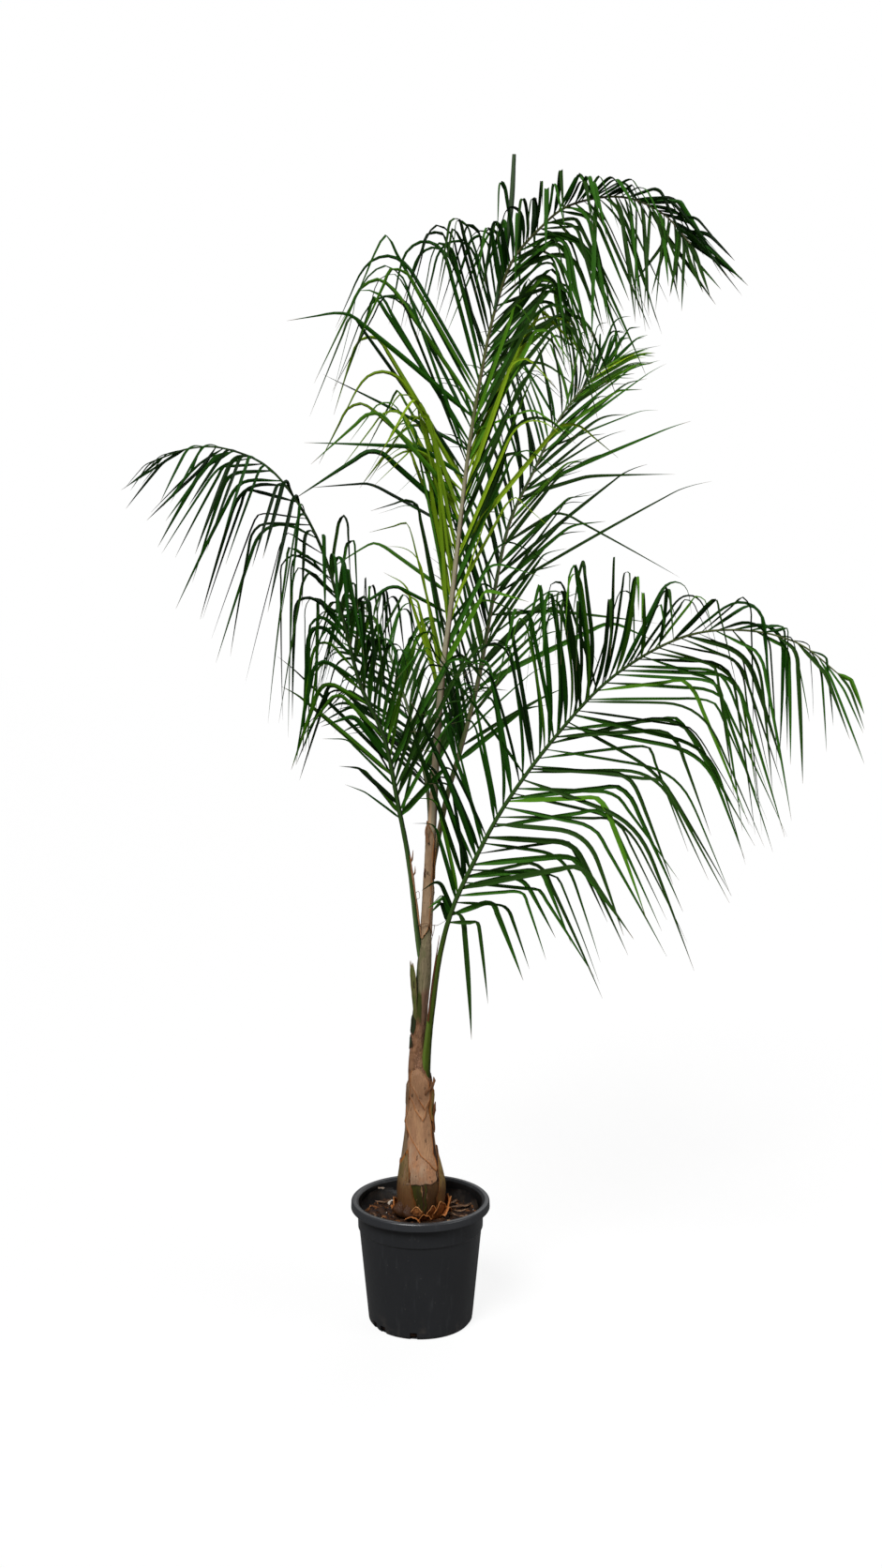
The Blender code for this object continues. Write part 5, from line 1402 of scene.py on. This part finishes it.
class PALM_OT_filling(bpy.types.Operator):
    """Fills the pot with bark mix, chips, litter and the folded liner"""

    bl_idname = "palm.filling"
    bl_label = "Filling"

    def execute(self, context):
        sizes = context.scene.palm_pot
        soil = mottled_material(
            "humus", (0.014, 0.007, 0.005), (0.05, 0.024, 0.013), 60.0, 0.7, 0.62, 420.0, 0.0018
        )
        inside = POT_COLLAR_RADIUS - sizes.wall - 0.0006
        foot = sizes.base_radius - sizes.wall - 0.0008
        bed = self.bed(inside, foot, soil)
        top = self.top_patch(bed, inside)
        for name, light, dark, density, spacing, small, large, seed in CHIPS:
            source = linked("strewn", top.data.copy())
            finish = mottled_material(name, light, dark, 110.0, 0.4, 0.72, 700.0, 0.0006)
            chip = self.chip(seed)
            made = grown(
                source, "scatter", name, chip=chip, density=density * sizes.chips / CHIP_DENSITY,
                spacing=spacing, smallest=small, largest=large, tumble=0.6, seed=seed, finish=finish,
            )
            bpy.data.objects.remove(chip)
            fitted(smoothed(made, 40), "potting_mix")
        bpy.data.objects.remove(top)
        self.litter()
        self.liner(inside)
        return {"FINISHED"}

    def level(self, x, y):
        """Height of the filling's top at a place."""
        place = Vector((x, y, 0.0))
        lumps = noise.fractal(place * 60, 1.0, 2.0, 4) * 0.0035
        waves = noise.noise(place * 18) * 0.003
        dish = 0.0035 * (math.hypot(x, y) / POT_COLLAR_RADIUS) ** 2
        return SOIL_LEVEL - 0.0045 + lumps + waves - dish

    def bed(self, inside, foot, finish):
        """The closed body of the filling with a lumpy top."""
        sides, rings = 120, 36
        points, faces = [], []
        for k in range(rings):
            radius = inside * (k + 1) / rings
            for i in range(sides):
                out = around(360 * i / sides) * radius
                points.append((out.x, out.y, self.level(out.x, out.y)))
        for radius, height in ((inside, POT_STEP_HEIGHT + 0.004), (foot, 0.008), (foot - 0.004, BED_FOOT)):
            for i in range(sides):
                out = around(360 * i / sides) * radius
                points.append((out.x, out.y, height))
        middle, below = len(points), len(points) + 1
        points += [(0, 0, self.level(0, 0)), (0, 0, BED_FOOT)]
        for i in range(sides):
            j = (i + 1) % sides
            faces.append((middle, i, j))
            for k in range(rings + 2):
                a, b = k * sides, (k + 1) * sides
                faces.append((a + i, b + i, b + j, a + j))
            last = (rings + 2) * sides
            faces.append((last + i, below, last + j))
        bed = smoothed(add_object("bark_filling", points, faces, finish), 60)
        return fitted(bed, "potting_mix", "potting_mix")

    def top_patch(self, bed, inside):
        """The ring of the bed's top that chips are strewn on."""
        work = bmesh.new()
        work.from_mesh(bed.data)
        for face in list(work.faces):
            middle = face.calc_center_median()
            reach = math.hypot(middle.x, middle.y)
            if face.normal.z < 0.3 or not 0.036 < reach < inside - 0.004 or middle.z < 0.19:
                work.faces.remove(face)
        return from_bmesh("top_patch", work)

    def chip(self, seed):
        """A flat splinter of bark, 6 mm long, with broken corners."""
        dice = random.Random(seed)
        work = bmesh.new()
        bmesh.ops.create_cube(work, size=1.0)
        bmesh.ops.subdivide_edges(work, edges=work.edges, cuts=1)
        for v in work.verts:
            push = 0.72 + 0.5 * dice.random()
            v.co = Vector([c * size * push for c, size in zip(v.co, CHIP_SIZE)])
        return from_bmesh("chip", work)

    def litter(self):
        """Curled scraps of old leaf and a few larger pale flakes on the bark."""
        finishes = {
            "scrap": mottled_material(
                "leaf_scrap", (0.215, 0.125, 0.072), (0.06, 0.03, 0.016), 75.0, 0.6, 0.6, 300.0, 0.0008
            ),
            "pale": mottled_material(
                "pale_flake", (0.78, 0.74, 0.68), (0.5, 0.42, 0.34), 40.0, 0.2, 0.6, 300.0, 0.0004
            ),
            "bark": mottled_material(
                "bark_flake", (0.36, 0.29, 0.24), (0.2, 0.14, 0.1), 90.0, 0.6, 0.7, 300.0, 0.0006
            ),
        }
        parts = [self.scrap(finishes[kind], *row) for kind, *row in SCRAPS]
        fitted(joined("leaf_litter", parts), "dry_husk")

    def scrap(self, finish, x, y, heading, reach, width, curl, rise):
        """A narrow curled scrap, bowed across its width."""
        points, rows = [], 10
        for i in range(rows + 1):
            share = i / rows - 0.5
            turn = math.radians(heading) + curl * share * 1.6
            middle = Vector((x, y, 0)) + Vector((math.cos(turn), math.sin(turn), 0)) * reach * share
            lift = self.level(middle.x, middle.y) + rise + 0.0045 + 0.004 * (1 - 4 * share * share) * curl
            half = width / 2 * math.sqrt(max(0.02, 1 - (2 * share) ** 2))
            side = Vector((-math.sin(turn), math.cos(turn), 0.35 * curl)).normalized() * half
            for k in (-1, 0, 1):
                bow = Vector((0, 0, 0.0012 * (1 - abs(k))))
                points.append(middle + Vector((0, 0, lift)) + side * k + bow)
        return sheet("scrap", points, 2, finish, 0.0008)

    def liner(self, inside):
        """Two folds of dark film that stand between the bark and the back of the wall."""
        finish = mottled_material(
            "liner_film", (0.006, 0.005, 0.005), (0.022, 0.016, 0.012), 30.0, 0.2, 0.34, 60.0, 0.0014, 0.35
        )
        parts, columns, rows = [], 40, 6
        for start, end, high in ((8, 74, 0.015), (104, 176, 0.018)):
            points = []
            for i in range(columns + 1):
                share = i / columns
                out = around(start + (end - start) * share)
                arch = math.sin(math.pi * share) ** 0.7
                wave = 0.006 * noise.noise(Vector((share * 5, start, 0)))
                for j in range(rows + 1):
                    up = j / rows
                    radius = inside - 0.0035 - 0.016 * (1 - up) ** 1.6 * arch + wave * up
                    height = SOIL_LEVEL - 0.01 + (0.006 + high * arch) * up
                    points.append((out.x * radius, out.y * radius, height))
            parts.append(sheet("fold", points, rows, finish, 0.0006, flip=True))
        fitted(joined("liner_folds", parts), "potting_mix")


MIDDLE_RIB = Rib(CENTRE)


class PALM_OT_stem(bpy.types.Operator):
    """Builds the stem with its relief and the old leaf bases wrapped on it"""

    bl_idname = "palm.stem"
    bl_label = "Stem"

    def execute(self, context):
        settings = context.scene.palm_stem
        self.body(settings)
        finishes = self.finishes(settings)
        nodes = {
            "pale": ("sheath_front",), "tan": ("sheath_back",), "olive": ("sheath_left",),
            "moss": ("sheath_right",), "stub": ("petiole_stub",),
        }
        for kind, finish in finishes.items():
            made = []
            for index, lap in enumerate(LAPS):
                if lap.finish == kind:
                    made.append(self.lap(lap, settings.sheath, finish, index))
            for index, strip in enumerate(STRIPS):
                if strip.finish == kind:
                    made.append(self.strip(strip, finish, index))
            slot = "petiole" if kind in ("stub", "straw", "amber") else "stem_fibre"
            fitted(joined(f"leaf_bases_{kind}", made), slot, *nodes.get(kind, ()))
        return {"FINISHED"}

    def finishes(self, settings):
        """The finish of each kind of leaf base, in the order of sheath_material's values."""
        tan, pale, olive, rust = (tuple(getattr(settings, key)) for key in ("tan", "pale", "olive", "rust"))
        # dark: a painted shadow colour, for the dark lap in the gap beside the front plate and the thin dark
        # lines along edges; the green, brown and scrap bases also take it for the band along their margins.
        dark = (0.03, 0.014, 0.007)
        rows = {
            "tan": ("sheath_tan", tan, (0.39, 0.2, 0.105), rust, EDGE_SHADE, 0.13),
            "pale": ("sheath_pale", pale, (0.47, 0.225, 0.11), (0.24, 0.12, 0.06), dark, 0.0, 0.5),
            "drab": ("sheath_drab", (0.37, 0.235, 0.135), (0.25, 0.165, 0.09), rust, EDGE_SHADE, 0.04),
            "olive": ("sheath_olive", olive, (0.19, 0.135, 0.045), rust, EDGE_SHADE, 0.46),
            "moss": ("sheath_moss", (0.4, 0.28, 0.065), olive, rust, EDGE_SHADE, 0.36, 0.2),
            "green": ("sheath_green", (0.06, 0.064, 0.004), (0.04, 0.03, 0.003), dark, dark, 0.0,
                      0.35, 0.5, 0.3),
            "brown": ("sheath_brown", (0.058, 0.02, 0.004), (0.1, 0.043, 0.01), dark, dark, 0.05,
                      0.35, 0.5, 0.3),
            "dark": ("sheath_dark", dark, (0.05, 0.022, 0.01), dark, dark, 0.0),
            "rust": ("sheath_rust", (0.14, 0.045, 0.018), (0.07, 0.02, 0.01), rust, EDGE_SHADE, 0.1),
            "stub": ("stalk_stub", (0.11, 0.135, 0.028), (0.2, 0.16, 0.06), (0.3, 0.19, 0.1),
                     (0.2, 0.11, 0.05), 0.12),
            "scrap": ("green_scrap", (0.018, 0.06, 0.014), (0.03, 0.03, 0.01), dark, dark, 0.0),
            "straw": ("sheath_straw", (0.47, 0.315, 0.19), (0.33, 0.2, 0.11), rust,
                      (0.26, 0.12, 0.04), 0.05),
            "amber": ("sheath_amber", (0.42, 0.22, 0.03), (0.25, 0.12, 0.02), rust, dark, 0.05),
        }
        return {kind: sheath_material(*row) for kind, row in rows.items()}

    def body(self, settings):
        """The closed body of the stem, ridged by its fibres and narrowed at the very top."""
        low, high = STEM[0][0], BODY_TOP
        rows, sides = 240, 72
        points, faces = [], []
        for j in range(rows + 1):
            height = low + (high - low) * j / rows
            middle, radius = core_at(height)
            radius += 0.0006 - 0.0016 * eased((height - BODY_TOP + 0.03) / 0.03)
            for i in range(sides):
                out = around(360 * i / sides)
                place = Vector((out.x * 9, out.y * 9, height * 26))
                ridges = noise.fractal(place, 1.0, 2.0, 4)
                thin = min(1.0, radius / 0.02)
                points.append(middle + out * (radius + settings.relief * (ridges - 0.3) * thin))
        for j in range(rows):
            for i in range(sides):
                k = (i + 1) % sides
                a, b = j * sides, (j + 1) * sides
                faces.append((a + i, a + k, b + k, b + i))
        faces.append(tuple(reversed(range(sides))))
        faces.append(tuple(range(rows * sides, (rows + 1) * sides)))
        stem = add_object("stem", points, faces, stem_material())
        fitted(smoothed(stem, 60), "stem_fibre", "trunk")

    def lap(self, lap, thickness, finish, index):
        """One leaf base: a curved sheet between its lower and upper margins, thickened inwards."""
        columns, rows = 44, 30
        angles = [c[0] for c in lap.columns]
        span = math.radians(angles[-1] - angles[0])
        points, margins = [], []
        for i in range(columns + 1):
            share = i / columns
            angle = angles[0] + (angles[-1] - angles[0]) * share
            ragged = 0.001 * noise.fractal(Vector((angle * 0.07, index * 3.7, 0)), 1.0, 2.0, 3)
            low = keyed(angles, [c[1] for c in lap.columns], angle) + ragged
            high = keyed(angles, [c[2] for c in lap.columns], angle) + (0 if lap.sunk else 2.2 * ragged)
            for j in range(rows + 1):
                up = j / rows
                height = low + (high - low) * up
                middle, radius = core_at(height)
                side = min(share, 1 - share) * span * radius
                reach = min(side, 0.8 * (height - low), 1.0 if lap.sunk else 0.8 * (high - height))
                margin = min(1.0, max(0.0, reach) / MARGIN_WIDTH)
                waver = angle + 5 * noise.noise(Vector((height * 60, index, 0)))
                out = around(waver)
                folds = noise.fractal(Vector((out.x * 5, out.y * 5, height * 16 + index * 5)), 1.0, 2.0, 3)
                lift = 0.0006 + lap.layer * LAYER_RISE + 0.001 * (1 - eased(margin * 1.4)) + 0.0006 * folds
                lift += lap.lean * up ** 2.4
                if lap.sunk:
                    lift -= SUNK_DEPTH * eased(1 - (high - height) / SUNK_HEIGHT)
                points.append(middle + out * (radius + lift))
                margins.append(margin)
        return sheet("lap", points, rows, finish, thickness, margins)

    def strip(self, strip, finish, index):
        """A rolled strip along its guides, with torn margins and a torn end."""
        line = smooth_path(strip.guides, 8)
        columns, last = 10, len(line) - 1
        shares = [n / (len(strip.halves) - 1) for n in range(len(strip.halves))]
        points, margins = [], []
        for i, place in enumerate(line):
            share = i / last
            along = (line[min(last, i + 1)] - line[max(0, i - 1)]).normalized()
            side = along.cross(Vector(strip.face)).normalized()
            out = side.cross(along)
            half = keyed(shares, strip.halves, share)
            for k in range(columns + 1):
                across = 2 * k / columns - 1
                tear = noise.fractal(Vector((across * 2.6, index * 4.1, 0)), 1.0, 2.0, 3)
                nibble = 1 + 0.22 * noise.noise(Vector((across, share * 6, index * 2.3)))
                spot = place + side * half * across * nibble
                spot += out * strip.cup * half * (1 - across * across)
                points.append(spot + along * strip.ragged * tear * eased(4 * share - 3))
                margins.append(min(1.0, 1.6 * (1 - abs(across)), 4 * (1 - share)))
        return sheet("strip", points, columns, finish, 0.0008, margins, flip=True)


class PALM_OT_husks(bpy.types.Operator):
    """Sets the torn husks round the stem's foot"""

    bl_idname = "palm.husks"
    bl_label = "Torn Husks"

    def execute(self, context):
        rim = (0.72, 0.33, 0.13)
        finishes = {
            "husk": sheath_material("dry_husk", (0.3, 0.08, 0.014), (0.11, 0.028, 0.006),
                                    (0.62, 0.2, 0.038), rim, 0.22, 0.5, 0.42, 0.35),
            "bulb": sheath_material("husk_bulb", (0.07, 0.022, 0.004), (0.03, 0.01, 0.002),
                                    (0.2, 0.07, 0.016), (0.3, 0.16, 0.07), 0.02, 0.15, 0.46, 0.4),
            # painted highlight: the pale orange of the flap just left of the front of the foot
            "flap": sheath_material("pale_flap", (0.62, 0.29, 0.11), (0.4, 0.15, 0.045),
                                    (0.66, 0.28, 0.08), rim, 0.1, 0.2, 0.42, 0.0),
        }
        parts = [self.husk(finishes[kind], *row) for kind, *row in HUSKS]
        fitted(joined("torn_husks", parts), "dry_husk", *(f"husk_{i}" for i in range(1, 8)))
        return {"FINISHED"}

    def husk(self, finish, angle, half, foot, high, lean, belly, ragged):
        """One torn flap: a swollen sheet whose ragged top curls out."""
        columns, rows = 24, 16
        points, margins = [], []
        for i in range(columns + 1):
            across = 2 * i / columns - 1
            out = around(angle + half * across)
            tear = noise.noise(Vector((across * 2.2, angle * 0.37, 4)))
            tear += 0.25 * noise.noise(Vector((across * 8, angle, 9)))
            top = high * (1 - 0.45 * abs(across) ** 1.8 - ragged * (0.3 + 0.55 * tear))
            for j in range(rows + 1):
                up = j / rows
                height = foot + top * up
                middle, radius = stem_at(max(height, STEM[0][0] + 0.0001))
                swell = belly * math.sin(math.pi * min(1.0, up * 1.1)) * (1 - 0.6 * across * across)
                curl = lean * up ** 2.2 + 0.0013 * noise.noise(Vector((across * 4, up * 4, angle)))
                points.append(middle + out * (radius + 0.003 + swell + curl))
                points[-1].z = height - 0.35 * max(0, lean) * up ** 5
                inset = min(1 - up, 0.9 * (1 - abs(across))) * high
                margins.append(min(1.0, max(0.0, inset / MARGIN_WIDTH)))
        return sheet("husk", points, rows, finish, 0.0011, margins)


class PALM_OT_ribs(bpy.types.Operator):
    """Sweeps the stalks and ribs of the fronds"""

    bl_idname = "palm.ribs"
    bl_label = "Ribs"

    def execute(self, context):
        tan, olive, green = (0.4, 0.27, 0.16), (0.11, 0.14, 0.035), (0.04, 0.105, 0.014)
        beige = (0.4, 0.36, 0.24)
        finishes = {
            "centre": rib_material("rib_centre", tan, beige, olive, (0.1, 0.5)),
            "left": rib_material("rib_left", (0.045, 0.085, 0.018), green, green, (0.1, 0.6)),
            "right": rib_material("rib_right", (0.06, 0.098, 0.004), green, olive, (0.22, 0.7)),
            "back": rib_material("rib_back", tan, olive, green, (0.1, 0.4)),
            "rear": rib_material("rib_rear", olive, olive, green, (0.1, 0.5)),
        }
        for frond in FRONDS:
            chain, finish = self.route(Rib(frond)), finishes[frond.name]
            made = limb(f"{frond.name}_rib", [chain], finish, 16, 0.32, 0.0009, 70)
            fitted(made, "petiole", f"{frond.name}_petiole")
        return {"FINISHED"}

    def route(self, rib):
        """A rib's chain, pointed at the foot, its wide direction in line with its leaflets."""
        chain = []
        for i in range(RIB_STEPS + 1):
            share = i / RIB_STEPS
            foot = min(1.0, 0.3 + 0.7 * share * rib.length / RIB_POINT)
            wide = -rib.along(share).cross(Vector((0, -1, 0))).normalized()
            chain.append((rib.at(share), wide, rib.radius(share) * foot, share, 0.5))
        return chain


class PALM_OT_leaves(bpy.types.Operator):
    """Grows every frond's leaflets, one piece for each kind of green"""

    bl_idname = "palm.leaves"
    bl_label = "Leaflets"

    def execute(self, context):
        settings = context.scene.palm_leaf
        blades, unders = {}, {}
        for kind, gloss in zip(KINDS, (0.3, 0.32, 0.34, 0.36)):
            green = tuple(getattr(settings, kind))
            light = (2.4 * green[0] + 0.009, 1.9 * green[1] + 0.022, 1.3 * green[2] + 0.001)
            blades[kind] = leaf_material(f"blade_{kind}", green, light, gloss)
            pale = tuple(0.8 * g + 0.2 * p for g, p in zip(light, (0.05, 0.12, 0.022)))
            unders[kind] = leaf_material(f"underside_{kind}", pale, scaled(pale, 1.4), gloss + 0.14)
        for frond in FRONDS:
            chains = {kind: [] for kind in KINDS}
            dice = random.Random(frond.seed + 100)
            for leaf in leaflets(Rib(frond)):
                chains[tone_of(frond, leaf, dice)].append(self.chain(leaf, dice))
            for kind, group in chains.items():
                if group:
                    made = grown(
                        chain_object("chain", group), "leaflet", f"{frond.name}_leaves_{kind}",
                        half_width=settings.width / 2, thickness=settings.thickness, fold=settings.fold,
                        blade=blades[kind], underside=unders[kind],
                    )
                    fitted(smoothed(made, 26), frond.slot, *frond.nodes)
        self.spear()
        return {"FINISHED"}

    def spear(self):
        """The newest leaflets, still folded in one stiff point above the bend of the middle rib."""
        finish = rib_material(
            "spear", (0.03, 0.075, 0.02), (0.06, 0.11, 0.04), (0.07, 0.12, 0.05), (0.2, 0.6)
        )
        line = smooth_path(SPEAR, 8)
        chain = []
        for i, point in enumerate(line):
            share = i / (len(line) - 1)
            half = keyed([n / 5 for n in range(6)], SPEAR_HALVES, share)
            chain.append((point, Vector((-1, 0, 0)), half, share, 0.5))
        fitted(limb("centre_spear", [chain], finish, 10, 0.5, 0.001, 50), "leaflet_deep")

    def chain(self, leaf, dice):
        """The leaflet's smoothed middle line with its width and tone at each point."""
        tone = dice.random()
        size = leaf.width * (1.15 - 0.5 * leaf.share) * dice.choice((0.72, 0.88, 1.0, 1.15))
        line = smooth_path(leaf.line, 2)
        chain = []
        for i, point in enumerate(line):
            along = i / (len(line) - 1)
            wide = leaf.wide[i // 2].lerp(leaf.wide[min(LEAF_STEPS, i // 2 + 1)], 0.5 * (i % 2))
            chain.append((point, wide, size * leaf_outline(along), along, tone))
        return chain


class PALM_OT_fibres(bpy.types.Operator):
    """Adds the loose threads and curled fibre on the stem"""

    bl_idname = "palm.fibres"
    bl_label = "Loose Fibre"

    def execute(self, context):
        finish = mottled_material(
            "loose_fibre", (0.24, 0.13, 0.07), (0.12, 0.06, 0.03), 200.0, 0.3, 0.7, 900.0, 0.0002
        )
        chains = []
        for radius, *guides in THREADS:
            line = smooth_path(guides, 8)
            chains.append([
                (point, Vector((0, -1, 0.01)), radius * (1 - 0.6 * i / len(line)), i / len(line), 0.5)
                for i, point in enumerate(line)
            ])
        fitted(limb("loose_fibres", chains, finish, 6, 0.0, 0.0004, 70), "dry_husk")
        return {"FINISHED"}


class PALM_OT_stage(bpy.types.Operator):
    """Sets the floor, the lights and the camera"""

    bl_idname = "palm.stage"
    bl_label = "Stage"

    def execute(self, context):
        settings = context.scene.palm_stage
        scene = context.scene
        floor_finish, tree, shader, _ = blank_material("floor_paint")
        coat(tree, shader, (*settings.floor, 1.0), 0.9, 0.1)
        seen = tree.nodes.new("ShaderNodeLightPath").outputs["Is Camera Ray"]
        wire(tree, shader, {"Emission Color": WHITE, "Emission Strength": times(tree, seen, settings.lift)})
        corners = [(x * FLOOR_HALF, y * FLOOR_HALF, 0) for x, y in ((-1, -1), (1, -1), (1, 1), (-1, 1))]
        floor = add_object("floor", corners, [(0, 1, 2, 3)], floor_finish)
        world = bpy.data.worlds.new("studio")
        world.use_nodes = True
        tree = world.node_tree
        seen = tree.nodes.new("ShaderNodeLightPath").outputs["Is Camera Ray"]
        strength = times_add(tree, seen, 1.0 - settings.sky, settings.sky)
        wire(tree, tree.nodes["Background"], {"Color": WHITE, "Strength": strength})
        scene.world = world
        for lamp in LAMPS:
            self.lamp(*lamp)
        lens = bpy.data.cameras.new("camera")
        lens.lens, lens.sensor_width = CAMERA_LENS, CAMERA_SENSOR
        camera = linked("camera", lens)
        camera.location = (CAMERA_ASIDE, -settings.distance, settings.eye_height)
        camera.rotation_euler = (math.radians(90 - CAMERA_DOWN), 0, 0)
        scene.camera = camera
        scene.view_settings.view_transform = "Standard"
        return {"FINISHED"}

    def lamp(self, name, kind, place, power, spread):
        """A soft light aimed at the middle of the plant."""
        light = bpy.data.lights.new(name, kind)
        light.energy = power
        if kind == "SUN":
            light.angle = math.radians(spread)
        else:
            light.size = spread
        made = linked(name, light)
        made.location = place
        made.rotation_euler = (Vector(LIT_PLACE) - Vector(place)).to_track_quat("-Z", "Y").to_euler()


class PALM_PT_sidebar(bpy.types.Panel):
    """Lists the palm's pieces in the 3D view's sidebar"""

    bl_label = "Potted Queen Palm"
    bl_idname = "PALM_PT_sidebar"
    bl_space_type = "VIEW_3D"
    bl_region_type = "UI"
    bl_category = "Palm"

    def draw(self, context):
        for key, operators in PANEL_ROWS:
            box = self.layout.box()
            group = getattr(context.scene, key)
            for name in group.__annotations__:
                box.prop(group, name)
            for operator in operators:
                box.operator(operator.bl_idname)


PANEL_ROWS = (
    ("palm_pot", (PALM_OT_pot, PALM_OT_filling)),
    ("palm_stem", (PALM_OT_stem, PALM_OT_husks, PALM_OT_fibres)),
    ("palm_leaf", (PALM_OT_ribs, PALM_OT_leaves)),
    ("palm_stage", (PALM_OT_stage,)),
)
SETTINGS = {
    "palm_pot": PALM_PG_pot, "palm_stem": PALM_PG_stem, "palm_leaf": PALM_PG_leaf,
    "palm_stage": PALM_PG_stage,
}
CLASSES = (
    *SETTINGS.values(), PALM_OT_pot, PALM_OT_filling, PALM_OT_stem, PALM_OT_husks, PALM_OT_ribs,
    PALM_OT_leaves, PALM_OT_fibres, PALM_OT_stage, PALM_PT_sidebar,
)


def register():
    for cls in CLASSES:
        bpy.utils.register_class(cls)
    for key, cls in SETTINGS.items():
        setattr(bpy.types.Scene, key, PointerProperty(type=cls))


def unregister():
    for key in SETTINGS:
        delattr(bpy.types.Scene, key)
    for cls in reversed(CLASSES):
        bpy.utils.unregister_class(cls)


def main():
    register()
    bpy.ops.palm.pot()
    bpy.ops.palm.filling()
    bpy.ops.palm.stem()
    bpy.ops.palm.husks()
    bpy.ops.palm.ribs()
    bpy.ops.palm.leaves()
    bpy.ops.palm.fibres()
    bpy.ops.palm.stage()


if __name__ == "__main__":
    main()
